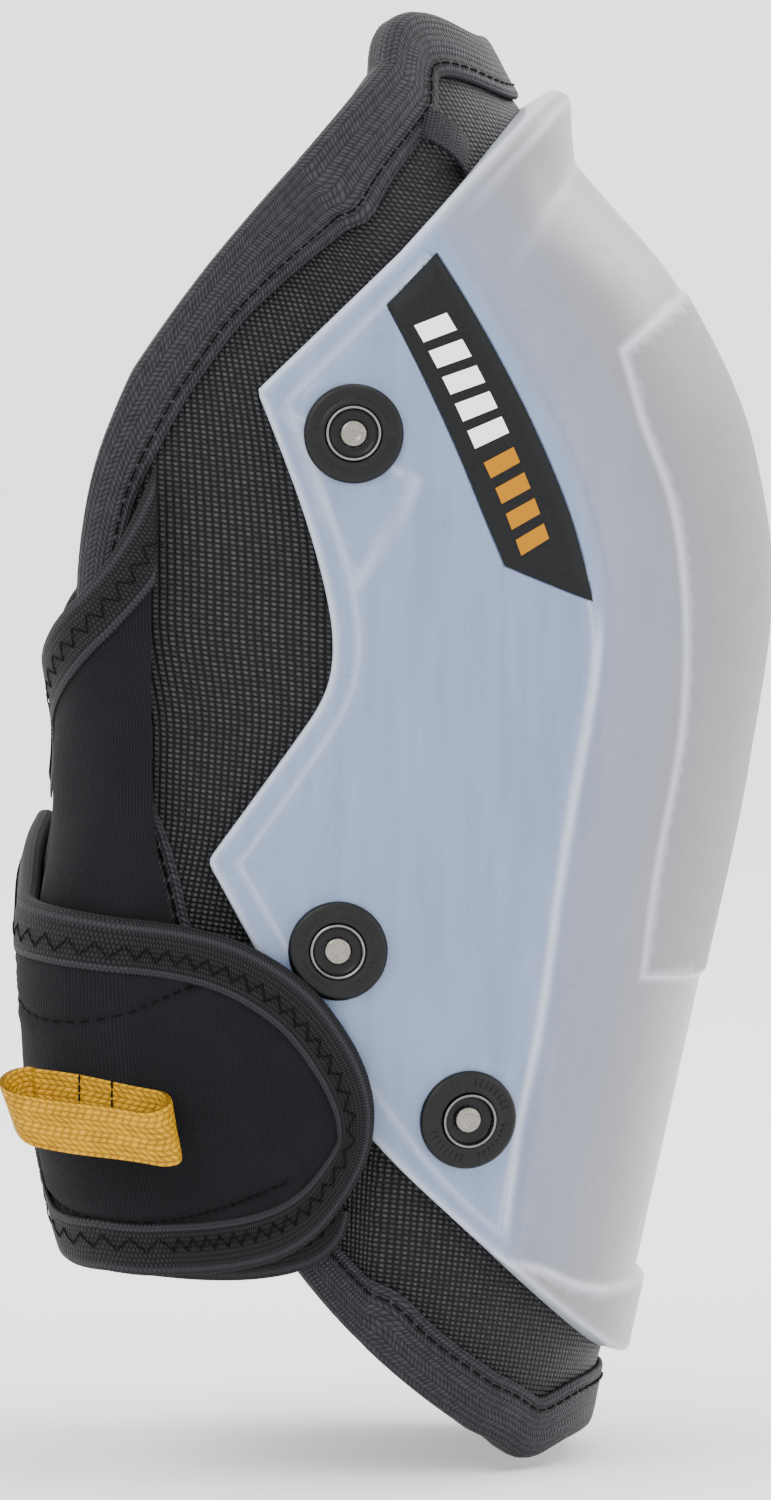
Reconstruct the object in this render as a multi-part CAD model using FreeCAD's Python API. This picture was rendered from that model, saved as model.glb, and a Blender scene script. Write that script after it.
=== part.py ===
"""Work knee pad: a translucent moulded shell snapped to a padded, webbing-bound cover, with a strap.

Frame, in millimetres: +X forward through the kneecap, +Y to the wearer's left, +Z up, and the origin
at the knee's centre. Every layer is an offset of one ring surface round the leg: a rounded front,
straight flanks, rounded rear corners and a shallow bulged back. Depth is measured inwards from that
surface, so a negative depth lies outside it.
"""

import FreeCAD, Part
import math
import os

from FreeCAD import Vector

# ---- driving dimensions --------------------------------------------------------------------------
FRONT_X = [(-172, 38), (-122, 48.8), (-65, 61.3), (-23, 70.1), (12, 74.5), (37, 71), (68, 57.4),
           (93.5, 36.5),
           (104, 29.5), (112, 24.8), (124, 19.5), (136, 16)]
HALF_WIDTH = [(-172, 52), (-145, 62), (-118, 70), (-88, 74), (-50, 76), (-10, 76.8), (36, 76),
              (75, 71), (108, 63),
              (136, 56)]
FRONT_ROUNDING = [(-172, 46), (-120, 52), (-88, 56), (-30, 54), (10, 52), (70, 54), (136, 48)]
REAR_X = [(-172, -48), (-120, -57.5), (-105, -61), (-77, -66.2), (-55, -67.2), (-30, -63.8),
          (-15, -63.6), (8, -67),
          (60, -67), (136, -62)]
FRONT_POWER = 2.2          # superellipse power of the rounded front
CORNER_DEPTH = 17.5        # rear corner, front to back
CORNER_WIDTH = 20.0        # rear corner, side to side
BACK_BULGE = 1.5

SHELL_THICK = 3.0
FABRIC = (3.1, 4.3)        # depths of the woven cover's two faces
FOAM_OUTER = 4.4
FOAM_EDGE_DEPTH = 5.8      # inner face of the foam outside the bound edge
FOAM_FULL_DEPTH = 12.0     # inner face of the foam away from the edge
EDGE_TAPER = 24.0          # the foam reaches its full thickness this far inside the edge
EDGE_LEAD = 12.0           # and starts thickening this far outside it
LINER_THICK = 1.5
GEL_DEPTHS = (8.6, 11.9)
BINDING_OUTER = (1.9, 3.05)
BINDING_THICK = 1.1
WING = (-0.9, 1.1)         # neoprene wings
WING_BAND = (-1.5, 1.5)    # their elastic edge band
STRAP = (-4.6, -2.55)      # neoprene closing strap
STRAP_BAND = (-5.25, -1.9)
BAND_WIDTH = 10.5
WING_END_Y = 8.0           # the two wings stop this far each side of the centre of the back
STRAP_ROOT_Y = 32.0        # the strap is sewn on the far wing from WING_END_Y to here
SEAM_X = -43.0             # where the wings hinge off the pad
STRAP_HINGE_TURN = 50.0    # place of the strap's hinge round the near rear corner, in degrees from the flank

WASHER_R, WASHER_THICK = 9.3, 1.6
SOCKET_R, SOCKET_WALL = 5.0, 0.75
STUD_R, STUD_BASE_R = 2.7, 5.9
SNAP_SITES = [(-6, 42.3), (-9, -55.5), (15.4, -87.7)]

REACH = 140.0              # half length of the cutting prisms

# ---- side outlines, as (x, z); every smooth run is one curve, every straight run two points ------
PAD_OUTLINE = [
    [(20.6, 118.5), (110, 118.5)],
    [(110, 118.5), (110, -150)],
    [(110, -150), (41.2, -150)],
    [(41.2, -150), (37.5, -156), (29, -158), (18, -150.3), (-2.8, -134.1), (-17.1, -117.2),
     (-31, -94), (-43, -66), (-52, -40), (-58.6, -14), (-61, 8), (-60.4, 20), (-56.3, 38), (-45.5, 58),
     (-21.8, 88.6), (1.8, 113.8), (12.6, 123.3), (18.2, 123.3), (20.6, 118.5)],
]
PAD_WINDOW = [          # the line that the edge binding reaches in to
    [(13.5, 107), (110, 107)],
    [(110, 107), (110, -145)],
    [(110, -145), (29.5, -145)],
    [(29.5, -145), (25.3, -140.8), (5.4, -125.4), (-7.3, -110.3), (-20.3, -88.6), (-31.8, -61.6),
     (-40.5, -36.6), (-46.8, -11.8),
     (-49, 8), (-48.6, 17.9), (-45.1, 33.6), (-35.6, 51.2), (-13, 80.4), (10, 104.8), (13.5, 107)],
]
BROW_TIP = (31.2, 107.7)
BROW_SLOPE = (107.7 - 76.6) / (31.2 - 2.7)
BROW_END = (60.0, 76.6 + BROW_SLOPE * (60.0 - 2.7))
SHELL_OUTLINE = [
    [(2.7, 76.6), BROW_END],
    [BROW_END, (110, 100)],
    [(110, 100), (110, -120)],
    [(110, -120), (70, -161.8)],
    [(70, -161.8), (21.5, -114.9)],
    [(21.5, -114.9), (8.4, -102.8), (-4.4, -89.5), (-21.9, -60.5), (-32.8, -40.2)],
    [(-32.8, -40.2), (-33.3, -38.7), (-32.6, -37.2)],
    [(-32.6, -37.2), (-16.2, -14.6), (-11.2, -6), (-10, 3.3), (-11.4, 12.8), (-23.8, 49.4)],
    [(-23.8, 49.4), (-24, 50.8), (-23, 51.8)],
    [(-23, 51.8), (2.7, 76.6)],
]
LIP_OUTLINE = [
    [(2.7, 76.6), BROW_TIP],
    [BROW_TIP, (35.8, 104.7)],
    [(35.8, 104.7), (36.4, 93)],
    [(36.4, 93), (11, 79.4)],
    [(11, 79.4), (2.7, 76.6)],
]
LIP_HEIGHT, LIP_HALF_SPAN = 6.0, 0.74
WEAR_OUTLINE = [
    [(44.4, 57.8), (90, 94)],
    [(90, 94), (110, 0)],
    [(110, 0), (90, -69)],
    [(90, -69), (48.5, -62.4)],
    [(48.5, -62.4), (51.9, -36.8), (55.4, -18), (56.6, 0), (55.8, 17), (52.9, 32), (44.4, 57.8)],
]
LOWER_BAND = [
    [(21.5, -114.9), (30, -117.2), (37, -121), (48, -122.4), (56, -122)],
    [(56, -122), (90, -122)],
    [(90, -122), (90, -161.8)],
    [(90, -161.8), (70, -161.8)],
    [(70, -161.8), (21.5, -114.9)],
]
LABEL_OUTLINE = [
    [(9.7, 76.4), (15.6, 67), (21.6, 56.4), (27.2, 45.4), (32, 34.6), (36, 23.6), (39.3, 10.6)],
    [(39.3, 10.6), (22.6, 17.4)],
    [(22.6, 17.4), (18.6, 27), (14.8, 36.4), (10.3, 46.6), (4.8, 58), (0.3, 66.6)],
    [(0.3, 66.6), (9.7, 76.4)],
]
PANEL_OUTLINE = [
    [(8.2, 75.8), (14.6, 65), (20.7, 54), (26.4, 42.8), (31.4, 31), (36, 18.9), (39.4, 7), (39.2, -2.5),
     (37.4, -14), (33.6, -36), (31.4, -52.2), (28.4, -72.5), (25, -89.5), (21.6, -110.4)],
    [(21.6, -110.4), (10.9, -99.8), (0.9, -87), (-16, -60), (-28, -39.2)],
    [(-28, -39.2), (-12.4, -17), (-6.6, -6), (-5.4, 4), (-6.8, 14), (-18.8, 48.6)],
    [(-18.8, 48.6), (8.2, 75.8)],
]
PANEL_GROOVE = [
    [(12.2, 79.4), (20.8, 65.2), (28, 52.4), (34.4, 39.7), (38.4, 28.5), (41, 18.9), (42.4, 9.4),
     (41.9, -2.5),
     (40.2, -14), (36.3, -36.1), (34, -52.2), (31, -72.5), (27.5, -89.5), (24.8, -112.4)],
    [(24.8, -112.4), (23.6, -112.2)],
    [(23.6, -112.2), (26.3, -89.7), (29.8, -72.7), (32.8, -52.4), (35.1, -36.3), (39, -14.2), (40.7, -2.6),
     (41.2, 9.3), (39.8, 18.6), (37.3, 28), (33.2, 39.3), (26.9, 51.9), (19.7, 64.6), (11.2, 78.7)],
    [(11.2, 78.7), (12.2, 79.4)],
]
WING_OUTLINE = [
    [(-43.3, 36.2), (-51, 20.5), (-57.7, 11.6), (-63.8, 0.5), (-90, -40)],
    [(-90, -40), (-90, -118)],
    [(-90, -118), (-58, -116.5), (-35, -118.4), (-20, -117.6), (-12, -114.6), (-8, -110), (-6.7, -105.5)],
    [(-6.7, -105.5), (-16, -93), (-29, -73), (-38, -55), (-42.2, -38), (-43.3, -20), (-43.3, 8),
     (-43.3, 36.2)],
]
WING_BAND_INNER = [
    [(-30, -8), (-44.2, 11.6), (-51, 0.5), (-59, -9.8), (-64, -17.5), (-90, -54)],
    [(-90, -54), (-90, -107.5)],
    [(-90, -107.5), (-58, -106), (-35, -107.9), (-22, -107.4), (-17, -104), (-10, -90)],
    [(-10, -90), (10, -60)],
    [(10, -60), (-30, -8)],
]
WING_REAR_TOP = [   # as (y, z)
    (-140, 120), (-76, 60), (-69, 25), (-62, 4), (-45, -10), (-25, -17.5), (-8, -20.5), (0, -21)]
WING_REAR_BOTTOM = [(-140, -150), (0, -150)]
STRAP_OUTLINE = [
    [(-120, -41), (-80, -45), (-63, -47.4), (-40, -50.4), (-21, -57.2), (-8, -70), (-2.4, -84), (-4, -96),
     (-12, -108), (-26, -115.2), (-45, -116.3), (-58, -112.8), (-80, -102), (-120, -92)],
    [(-120, -92), (-120, -41)],
]
STRAP_REAR_TOP = [(-100, -49), (-70, -47.6), (-40, -44.6), (0, -39), (20, -36.4), (60, -34)]
STRAP_REAR_BOTTOM = [(-100, -116), (-70, -110.8), (-40, -104), (0, -98.2), (20, -96.5), (60, -95)]
TAB_CENTRE = (-54.6, -83.0)
TAB_LENGTH, TAB_DEPTH, TAB_HEIGHT, TAB_THICK = 33.0, 9.6, 10.0, 1.3
TAB_TURN = 11.0            # degrees that the ring's length turns from straight ahead
TAB_SLOPE = 8.5            # degrees that the tab's front end hangs down along the strap
TAB_DROOP = 7.0            # how much lower its outer band hangs than its sewn band
TAB_PIVOT = 4.9            # its fold line, out from the strap
KEEPER_OUTLINE = [
    [(4.6, 98.2), (10.9, 105.6)],
    [(10.9, 105.6), (20.2, 97.9)],
    [(20.2, 97.9), (13.6, 91.3)],
    [(13.6, 91.3), (4.6, 98.2)],
]
KEEPER_DEPTHS = (0.2, 1.3)


# ---- curves and the ring surface -----------------------------------------------------------------
def smooth(points):
    """A smooth function through (input, output) points that doesn't overshoot between them."""
    xs = [p[0] for p in points]
    ys = [p[1] for p in points]
    steps = [(ys[i + 1] - ys[i]) / (xs[i + 1] - xs[i]) for i in range(len(xs) - 1)]
    slopes = [steps[0]]
    for a, b in zip(steps, steps[1:]):
        slopes.append(0.0 if a * b <= 0 else 2 * a * b / (a + b))
    slopes.append(steps[-1])

    def value(x):
        i = max(0, min(len(xs) - 2, sum(1 for v in xs[1:-1] if v <= x)))
        h = xs[i + 1] - xs[i]
        t = (x - xs[i]) / h
        if t < 0:
            return ys[i] + slopes[i] * (x - xs[i])
        if t > 1:
            return ys[i + 1] + slopes[i + 1] * (x - xs[i + 1])
        return ((2 * t**3 - 3 * t**2 + 1) * ys[i] + (t**3 - 2 * t**2 + t) * h * slopes[i]
                + (3 * t**2 - 2 * t**3) * ys[i + 1] + (t**3 - t**2) * h * slopes[i + 1])

    return value


front_x = smooth(FRONT_X)
half_width = smooth(HALF_WIDTH)
front_rounding = smooth(FRONT_ROUNDING)
rear_x = smooth(REAR_X)


def ring_point(z, s):
    """The ring at height z. s is 0 at the front, 1 and 2 at the flank's ends, 3 where the back starts
    and 4 at its middle.

    A negative s is the near side, -Y."""
    side = -1.0 if s < 0 else 1.0
    s = abs(s)
    width, rounding = half_width(z), front_rounding(z)
    shoulder = front_x(z) - rounding
    corner_x = rear_x(z) + BACK_BULGE + CORNER_DEPTH
    if s <= 1:
        turn = math.radians(90 * (1 - s))
        power = 2 / FRONT_POWER
        x = shoulder + rounding * max(0.0, math.sin(turn)) ** power
        y = width * max(0.0, math.cos(turn)) ** power
    elif s <= 2:
        x = shoulder + (corner_x - shoulder) * (s - 1)
        y = width
    elif s <= 3:
        turn = math.radians(90 * (s - 2))
        x = corner_x - CORNER_DEPTH * math.sin(turn)
        y = width - CORNER_WIDTH * (1 - math.cos(turn))
    else:
        u = s - 3
        x = rear_x(z) + BACK_BULGE * (1 + math.cos(math.pi * u)) / 2
        y = (width - CORNER_WIDTH) * (1 - u)
    return Vector(x, side * y, z)


def ring_normal(z, s):
    """The ring's outward unit normal."""
    ds, dz = 0.004, 0.2
    across = ring_point(z, s + ds) - ring_point(z, s - ds)
    up = ring_point(z + dz, s) - ring_point(z - dz, s)
    return across.cross(up).normalize()


def flank_y(x, z):
    """Half width of the ring where it passes over the side-view point (x, z)."""
    width, rounding = half_width(z), front_rounding(z)
    ahead = (x - front_x(z) + rounding) / rounding
    behind = (rear_x(z) + BACK_BULGE + CORNER_DEPTH - x) / CORNER_DEPTH
    if ahead > 0:
        return width * max(0.0, 1 - ahead**FRONT_POWER) ** (1 / FRONT_POWER)
    if behind > 0:
        return width - CORNER_WIDTH * (1 - math.sqrt(max(0.0, 1 - behind**2)))
    return width


def flank_frame(x, z, side):
    """(point, outward normal) of the ring over a side-view point; side is -1 for near and 1 for far."""
    step = 0.5
    slope_x = (flank_y(x + step, z) - flank_y(x - step, z)) / (2 * step)
    slope_z = (flank_y(x, z + step) - flank_y(x, z - step)) / (2 * step)
    return Vector(x, side * flank_y(x, z), z), Vector(-slope_x, side, -slope_z).normalize()


# ---- outlines, prisms and layers -----------------------------------------------------------------
def outline_edges(pieces, place):
    edges = []
    for run in pieces:
        points = [place(a, b) for a, b in run]
        if len(points) == 2:
            edges.append(Part.LineSegment(points[0], points[1]).toShape())
        else:
            curve = Part.BSplineCurve()
            curve.interpolate(points)
            edges.append(curve.toShape())
    return edges


def side_wire(pieces):
    return Part.Wire(outline_edges(pieces, lambda x, z: Vector(x, -REACH, z)))


def crossing(first, second):
    """(index in first, index in second, point) where two runs cross, nearest the corner they share."""
    for i in range(len(first) - 2, -1, -1):
        ax, az = first[i]
        bx, bz = first[i + 1]
        for j in range(len(second) - 1):
            cx, cz = second[j]
            dx, dz = second[j + 1]
            turn = (bx - ax) * (dz - cz) - (bz - az) * (dx - cx)
            if abs(turn) < 1e-9:
                continue
            t = ((cx - ax) * (dz - cz) - (cz - az) * (dx - cx)) / turn
            u = ((cx - ax) * (bz - az) - (cz - az) * (bx - ax)) / turn
            if 0 <= t <= 1 and 0 <= u <= 1:
                return i, j, (ax + t * (bx - ax), az + t * (bz - az))
    raise ValueError("the inset outline doesn't close at a corner")


def inset_outline(pieces, inset):
    """The outline moved inwards all round, with its corners kept sharp."""
    edges = outline_edges(pieces, lambda a, b: Vector(a, 0, b))
    corners = [run[0] for run in pieces]
    area = sum(a[0] * b[1] - b[0] * a[1] for a, b in zip(corners, corners[1:] + corners[:1]))
    if len(pieces) == 2:
        area = sum(a[0] * b[1] - b[0] * a[1] for a, b in zip(pieces[0], pieces[0][1:]))
    hand = 1.0 if area > 0 else -1.0
    runs = []
    for run, edge in zip(pieces, edges):
        if len(run) == 2:
            points = [Vector(run[0][0], 0, run[0][1]), Vector(run[1][0], 0, run[1][1])]
        else:
            points = edge.discretize(25)
            start = Vector(run[0][0], 0, run[0][1])
            if (points[0] - start).Length > (points[-1] - start).Length:
                points.reverse()
        moved = []
        for i, point in enumerate(points):
            tangent = (points[min(i + 1, len(points) - 1)] - points[max(i - 1, 0)]).normalize()
            inward = Vector(-tangent.z, 0, tangent.x) * hand
            moved.append(point + inward * inset)
        reach = 4 * inset
        moved[0] = moved[0] - (moved[1] - moved[0]).normalize() * reach
        moved[-1] = moved[-1] + (moved[-1] - moved[-2]).normalize() * reach
        runs.append([(p.x, p.z) for p in moved])
    for k in range(len(runs)):
        following = (k + 1) % len(runs)
        i, j, point = crossing(runs[k], runs[following])
        runs[k] = runs[k][:i + 1] + [point]
        runs[following] = [point] + runs[following][j + 1:]
    return runs


def side_prism(pieces, inset=0.0):
    """Everything that lies inside a side outline, right across the part. inset shrinks the outline."""
    wire = side_wire(inset_outline(pieces, inset) if inset else pieces)
    return Part.Face(wire).extrude(Vector(0, 2 * REACH, 0))


def rear_prism(top, bottom, y_from, y_to, inset=0.0):
    """Everything behind the leg between two edges given as (y, z), from y_from to y_to."""
    count = 9
    upper, lower = smooth(top), smooth(bottom)
    ys = [y_from + (y_to - y_from) * i / (count - 1) for i in range(count)]
    runs = [
        [(y, upper(y) - inset) for y in ys],
        [(y_to, upper(y_to) - inset), (y_to, lower(y_to) + inset)],
        [(y, lower(y) + inset) for y in reversed(ys)],
        [(y_from, lower(y_from) + inset), (y_from, upper(y_from) - inset)],
    ]
    wire = Part.Wire(outline_edges(runs, lambda y, z: Vector(-REACH, y, z)))
    return Part.Face(wire).extrude(Vector(REACH + 20, 0, 0))


def polyline(pieces, count=30):
    """Points along a side outline, for measuring distances to it."""
    points = []
    for edge in side_wire(pieces).Edges:
        points += [p for p in edge.discretize(count)[:-1]]
    return [(p.x, p.z) for p in points]


def box_between(low, high):
    return Part.makeBox(high[0] - low[0], high[1] - low[1], high[2] - low[2], Vector(*low))


PAD_COLUMNS = [-2.92, -2.7, -2.5, -2.3, -2.12, -1.9, -1.6, -1.3, -1.08, -0.92, -0.76, -0.6, -0.45,
               -0.3, -0.15, 0]
PAD_COLUMNS += [-s for s in reversed(PAD_COLUMNS[:-1])]
WRAP_COLUMNS = [-4.55, -4.3, -4, -3.7, -3.4, -3.12, -2.9, -2.7, -2.5, -2.3, -2.1, -1.9, -1.6, -1.3,
                -1.05, -0.9, -0.75]
ROWS = [-172 + 14 * i for i in range(23)]
WRAP_ROWS = [-128 + 12 * i for i in range(15)]


def wrap_point(z, s):
    """The ring carried on past the middle of the back, for s under -4."""
    return ring_point(z, s) if s >= -4 else ring_point(z, 8 + s)


def wrap_normal(z, s):
    return ring_normal(z, s) if s > -3.99 else (Vector(-1, 0, 0) if s >= -4.01 else ring_normal(z, 8 + s))


def skin(depth, columns, rows):
    """A smooth face at a depth inside the ring; depth is a number or a function of x, z and s."""
    grid = []
    for z in rows:
        line = []
        for s in columns:
            p, n = wrap_point(z, s), wrap_normal(z, s)
            d = depth(p.x, z, s) if callable(depth) else depth
            line.append(p - n * d)
        grid.append(line)
    surface = Part.BSplineSurface()
    surface.interpolate(grid)
    return surface.toShape()


def layer(outer, inner, columns=None, rows=None):
    """A closed solid between two depths."""
    columns, rows = columns or PAD_COLUMNS, rows or ROWS
    a, b = skin(outer, columns, rows), skin(inner, columns, rows)
    sides = [Part.makeRuledSurface(ea, eb) for ea, eb in zip(a.Edges, b.Edges)]
    shell = Part.makeShell([a, b] + [f for s in sides for f in s.Faces])
    shell.sewShape()
    solid = Part.Solid(Part.Shell(shell.Faces))
    if solid.Volume < 0:
        solid.reverse()
    return solid


def wrap_layer(outer, inner):
    return layer(outer, inner, WRAP_COLUMNS, WRAP_ROWS)


def tidy(shape):
    """The solids of a result, without slivers."""
    solids = [s for s in shape.Solids if s.Volume > 0.5]
    return solids[0] if len(solids) == 1 else Part.makeCompound(solids)


def mirrored(shape):
    return shape.mirror(Vector(0, 0, 0), Vector(0, 1, 0))


def save(name, shape):
    os.makedirs("parts", exist_ok=True)
    shape = tidy(shape)
    shape.exportStep("parts/%s.step" % name)
    print("%-24s solids %d valid %s volume %.0f" % (name, len(shape.Solids), shape.isValid(), shape.Volume))


def turned_tool(profile, point, normal):
    """A solid turned about the normal at a point; profile is a closed list of (radius, height)."""
    points = [Vector(r, 0, h) for r, h in profile]
    face = Part.Face(Part.makePolygon(points + [points[0]]))
    solid = face.revolve(Vector(0, 0, 0), Vector(0, 0, 1), 360)
    solid.Placement = FreeCAD.Placement(point, FreeCAD.Rotation(Vector(0, 0, 1), normal))
    return Part.Solid(solid.Shells[0]) if not solid.Solids else solid


# ---- the soft pad --------------------------------------------------------------------------------
pad_edge = polyline(PAD_OUTLINE)


def edge_distance(x, z):
    """Distance from a side-view point to the pad's visible edge, negative outside it."""
    best = 1e9
    inside = False
    for (ax, az), (bx, bz) in zip(pad_edge, pad_edge[1:] + pad_edge[:1]):
        dx, dz = bx - ax, bz - az
        t = max(0.0, min(1.0, ((x - ax) * dx + (z - az) * dz) / (dx * dx + dz * dz + 1e-12)))
        if min(ax, bx) < 109:
            best = min(best, math.hypot(x - ax - t * dx, z - az - t * dz))
        if (az > z) != (bz > z) and x < ax + (z - az) * dx / (dz or 1e-12):
            inside = not inside
    return best if inside else -best


def foam_depth(x, z, s):
    """Depth of the foam's inner face: thin at the bound edge, full inside."""
    u = min(1.0, max(0.0, (edge_distance(x, z) + EDGE_LEAD) / (EDGE_TAPER + EDGE_LEAD)))
    return FOAM_EDGE_DEPTH + (FOAM_FULL_DEPTH - FOAM_EDGE_DEPTH) * u * u * (3 - 2 * u)


def deeper(offset):
    return lambda x, z, s: foam_depth(x, z, s) + offset


def gel_shape(grow):
    """The oval gel pocket behind the kneecap, seen from the front, as a prism along X."""
    oval = Part.Ellipse(Vector(0, 0, 4), 46 + grow, 34 + grow).toShape()
    oval.rotate(Vector(0, 0, 0), Vector(0, 1, 0), -90)
    oval.translate(Vector(20, 0, 0) - Vector(oval.BoundBox.Center.x, oval.BoundBox.Center.y, 0))
    oval.translate(Vector(0, 0, 4 - oval.BoundBox.Center.z))
    return Part.Face(Part.Wire(oval)).extrude(Vector(80, 0, 0))


def snap_sites():
    return [flank_frame(x, z, side) for side in (-1, 1) for x, z in SNAP_SITES]


def drill(shape, profile):
    for point, normal in snap_sites():
        shape = shape.cut(turned_tool(profile, point, normal))
    return shape


def build_pad():
    inset = 1.3
    pad_prism = side_prism(PAD_OUTLINE, inset)
    fabric = layer(*FABRIC).common(pad_prism)
    fabric = drill(fabric, [(0, 1), (STUD_R + 0.1, 1), (STUD_R + 0.1, -7), (0, -7)])
    save("fabric_cover", fabric)

    gel_pocket = layer(GEL_DEPTHS[0] - 0.1, 16).common(gel_shape(0.1))
    foam = layer(FOAM_OUTER, foam_depth).common(pad_prism)
    foam = foam.cut(gel_pocket)
    foam = drill(foam, [(0, 1), (STUD_BASE_R + 0.4, 1), (STUD_BASE_R + 0.4, -6.6), (0, -6.6)])
    save("foam_core", foam)
    save("gel_insert", layer(*GEL_DEPTHS).common(gel_shape(0)))
    save("inner_liner", layer(deeper(0.1), deeper(0.1 + LINER_THICK)).common(pad_prism))

    rim = layer(BINDING_OUTER[0], deeper(0.2 + LINER_THICK + BINDING_THICK)).common(side_prism(PAD_OUTLINE))
    core = layer(BINDING_OUTER[1], deeper(0.15 + LINER_THICK)).common(side_prism(PAD_OUTLINE, inset - 0.1))
    rim = rim.cut(core).cut(side_prism(PAD_WINDOW))
    save("edge_binding", rim)


# ---- the shell -----------------------------------------------------------------------------------
def lip_depth(x, z, s):
    """The stop lip along the shell's top edge: tallest in the middle, gone at the sides."""
    share = min(1.0, abs(s) / LIP_HALF_SPAN)
    return 0.8 - (LIP_HEIGHT + 0.8) * (1 - share**3)


def build_shell():
    base = layer(0, SHELL_THICK).common(side_prism(SHELL_OUTLINE))
    wear = layer(-0.9, 0.6).common(side_prism(WEAR_OUTLINE))
    lower = layer(-2.2, 1.0).common(side_prism(LOWER_BAND))
    lip = layer(lip_depth, 1.6).common(side_prism(LIP_OUTLINE))
    shell = base.fuse(wear).fuse(lower).fuse(lip)
    rim = layer(-1.5, 0.8)
    groove = rim.common(side_prism(PANEL_GROOVE))
    shell = shell.cut(groove)
    front_body = side_prism([
        [(11.6, 79), (20.2, 65), (27.4, 52), (33.8, 39.5), (37.8, 28.2), (40.4, 18.8), (41.8, 9.4),
         (41.3, -2.5),
         (39.6, -14), (35.7, -36.2), (33.4, -52.3), (30.4, -72.6), (26.9, -89.6), (24.2, -112.3),
         (21.6, -116)],
        [(21.6, -116), (110, -190)],
        [(110, -190), (110, 180)],
        [(110, 180), (11.6, 79)],
    ])
    shell = shell.cut(rim.cut(side_prism(PANEL_OUTLINE)).cut(front_body))
    shell = shell.cut(layer(-1.5, 1.0).common(side_prism(LABEL_OUTLINE)))
    seat = [(0, 4), (WASHER_R + 0.2, 4), (WASHER_R + 0.2, -0.45), (SOCKET_R + 0.05, -0.45),
            (SOCKET_R + 0.05, -8), (0, -8)]
    save("outer_shell", drill(shell, seat))
    label = layer(-0.5, 0.95).common(side_prism(LABEL_OUTLINE, 0.15))
    near = label.common(box_between((-90, -REACH, -160), (110, 0, 140)))
    save("label_inlay_near", near)
    save("label_inlay_far", mirrored(near))


# ---- snap fasteners ------------------------------------------------------------------------------
def build_snaps():
    seat = -0.4
    top = seat + WASHER_THICK
    washer = [(SOCKET_R + 0.05, seat), (WASHER_R, seat), (WASHER_R, top - 0.5), (WASHER_R - 0.5, top - 0.1),
              (SOCKET_R + 1.2, top), (SOCKET_R + 0.05, top - 0.35)]
    bore = SOCKET_R - SOCKET_WALL
    socket = [(bore, -SHELL_THICK + 0.05), (SOCKET_R, -SHELL_THICK + 0.05), (SOCKET_R, top + 0.15),
              (SOCKET_R - 0.3, top + 0.45), (bore, top + 0.15)]
    stud = [(0, -5.5), (STUD_BASE_R, -5.5), (STUD_BASE_R, -4.8), (STUD_R - 0.05, -4.8),
            (STUD_R - 0.05, -2.6),
            (STUD_R - 0.5, -2.0), (STUD_R, -1.2), (STUD_R - 0.1, -0.5), (STUD_R - 0.8, 0.1), (0, 0.3)]
    backing = [(2.0, -6.5), (STUD_BASE_R - 0.4, -6.5), (STUD_BASE_R - 0.4, -5.6), (2.0, -5.6)]
    for name, profile in (("snap_washers", washer), ("snap_sockets", socket), ("snap_studs", stud),
                          ("snap_backing_washers", backing)):
        save(name, Part.makeCompound([turned_tool(profile, p, n) for p, n in snap_sites()]))
    springs = []
    for p, n in snap_sites():
        springs.append(Part.makeTorus(3.55, 0.42, p - n * 1.9, n))
    save("snap_springs", Part.makeCompound(springs))


# ---- wings and strap -----------------------------------------------------------------------------
def half_space(point, normal):
    """A big box on the side of a plane that its normal points to."""
    size = 400
    box = Part.makeBox(size, size, size, Vector(-size / 2, -size / 2, 0))
    box.Placement = FreeCAD.Placement(point, FreeCAD.Rotation(Vector(0, 0, 1), normal))
    return box


def band_of(full, core, window):
    """An edge band: the full thickness less the cloth it wraps and the open middle."""
    return full.cut(core).cut(window)


def build_wings():
    outline = side_prism(WING_OUTLINE)
    core_outline = side_prism(WING_OUTLINE, 0.8)
    behind, behind_core, behind_window = (
        rear_prism(WING_REAR_TOP, WING_REAR_BOTTOM, -REACH, -WING_END_Y, d) for d in (0.0, 0.8, BAND_WIDTH))
    cloth = wrap_layer(*WING).common(core_outline).common(behind_core)
    full = wrap_layer(*WING_BAND).common(outline).common(behind)
    core = wrap_layer(WING[0] - 0.05, WING[1] + 0.05).common(core_outline).common(behind_core)
    band = band_of(full, core, side_prism(WING_BAND_INNER).common(behind_window))
    gap = 0.15
    moving = box_between((-120, -REACH, -160), (SEAM_X - gap, 0, 80))
    fixed = box_between((SEAM_X + gap, -REACH, -160), (60, 0, 80))
    upper = box_between((-120, -REACH, -60), (SEAM_X - gap, 0, 80))
    lower = box_between((-120, -REACH, -160), (SEAM_X - gap, 0, -60))
    for side, place in (("near", lambda s: s), ("far", mirrored)):
        save("wing_%s" % side, place(cloth.common(moving)))
        save("wing_base_%s" % side, place(cloth.common(fixed)))
        save("wing_band_upper_%s" % side, place(band.common(upper)))
        save("wing_band_lower_%s" % side, place(band.common(lower)))
        save("wing_base_band_%s" % side, place(band.common(fixed)))
    pile = wrap_layer(WING[0] - 0.65, WING[0] - 0.1).common(side_prism(WING_BAND_INNER, 1.5))
    save("loop_pile_near", pile.common(box_between((-120, -REACH, -102), (-45, -WING_END_Y - 3, -56))))


def strap_hinge():
    """(point, direction) of the strap's hinge, just outside its outer face at the near rear corner."""
    s = -(2 + STRAP_HINGE_TURN / 90)
    ends = []
    for z in (-110.0, -50.0):
        ends.append(ring_point(z, s) + ring_normal(z, s) * (-STRAP_BAND[0] + 2.7))
    return ends[0], (ends[1] - ends[0]).normalize()


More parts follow.
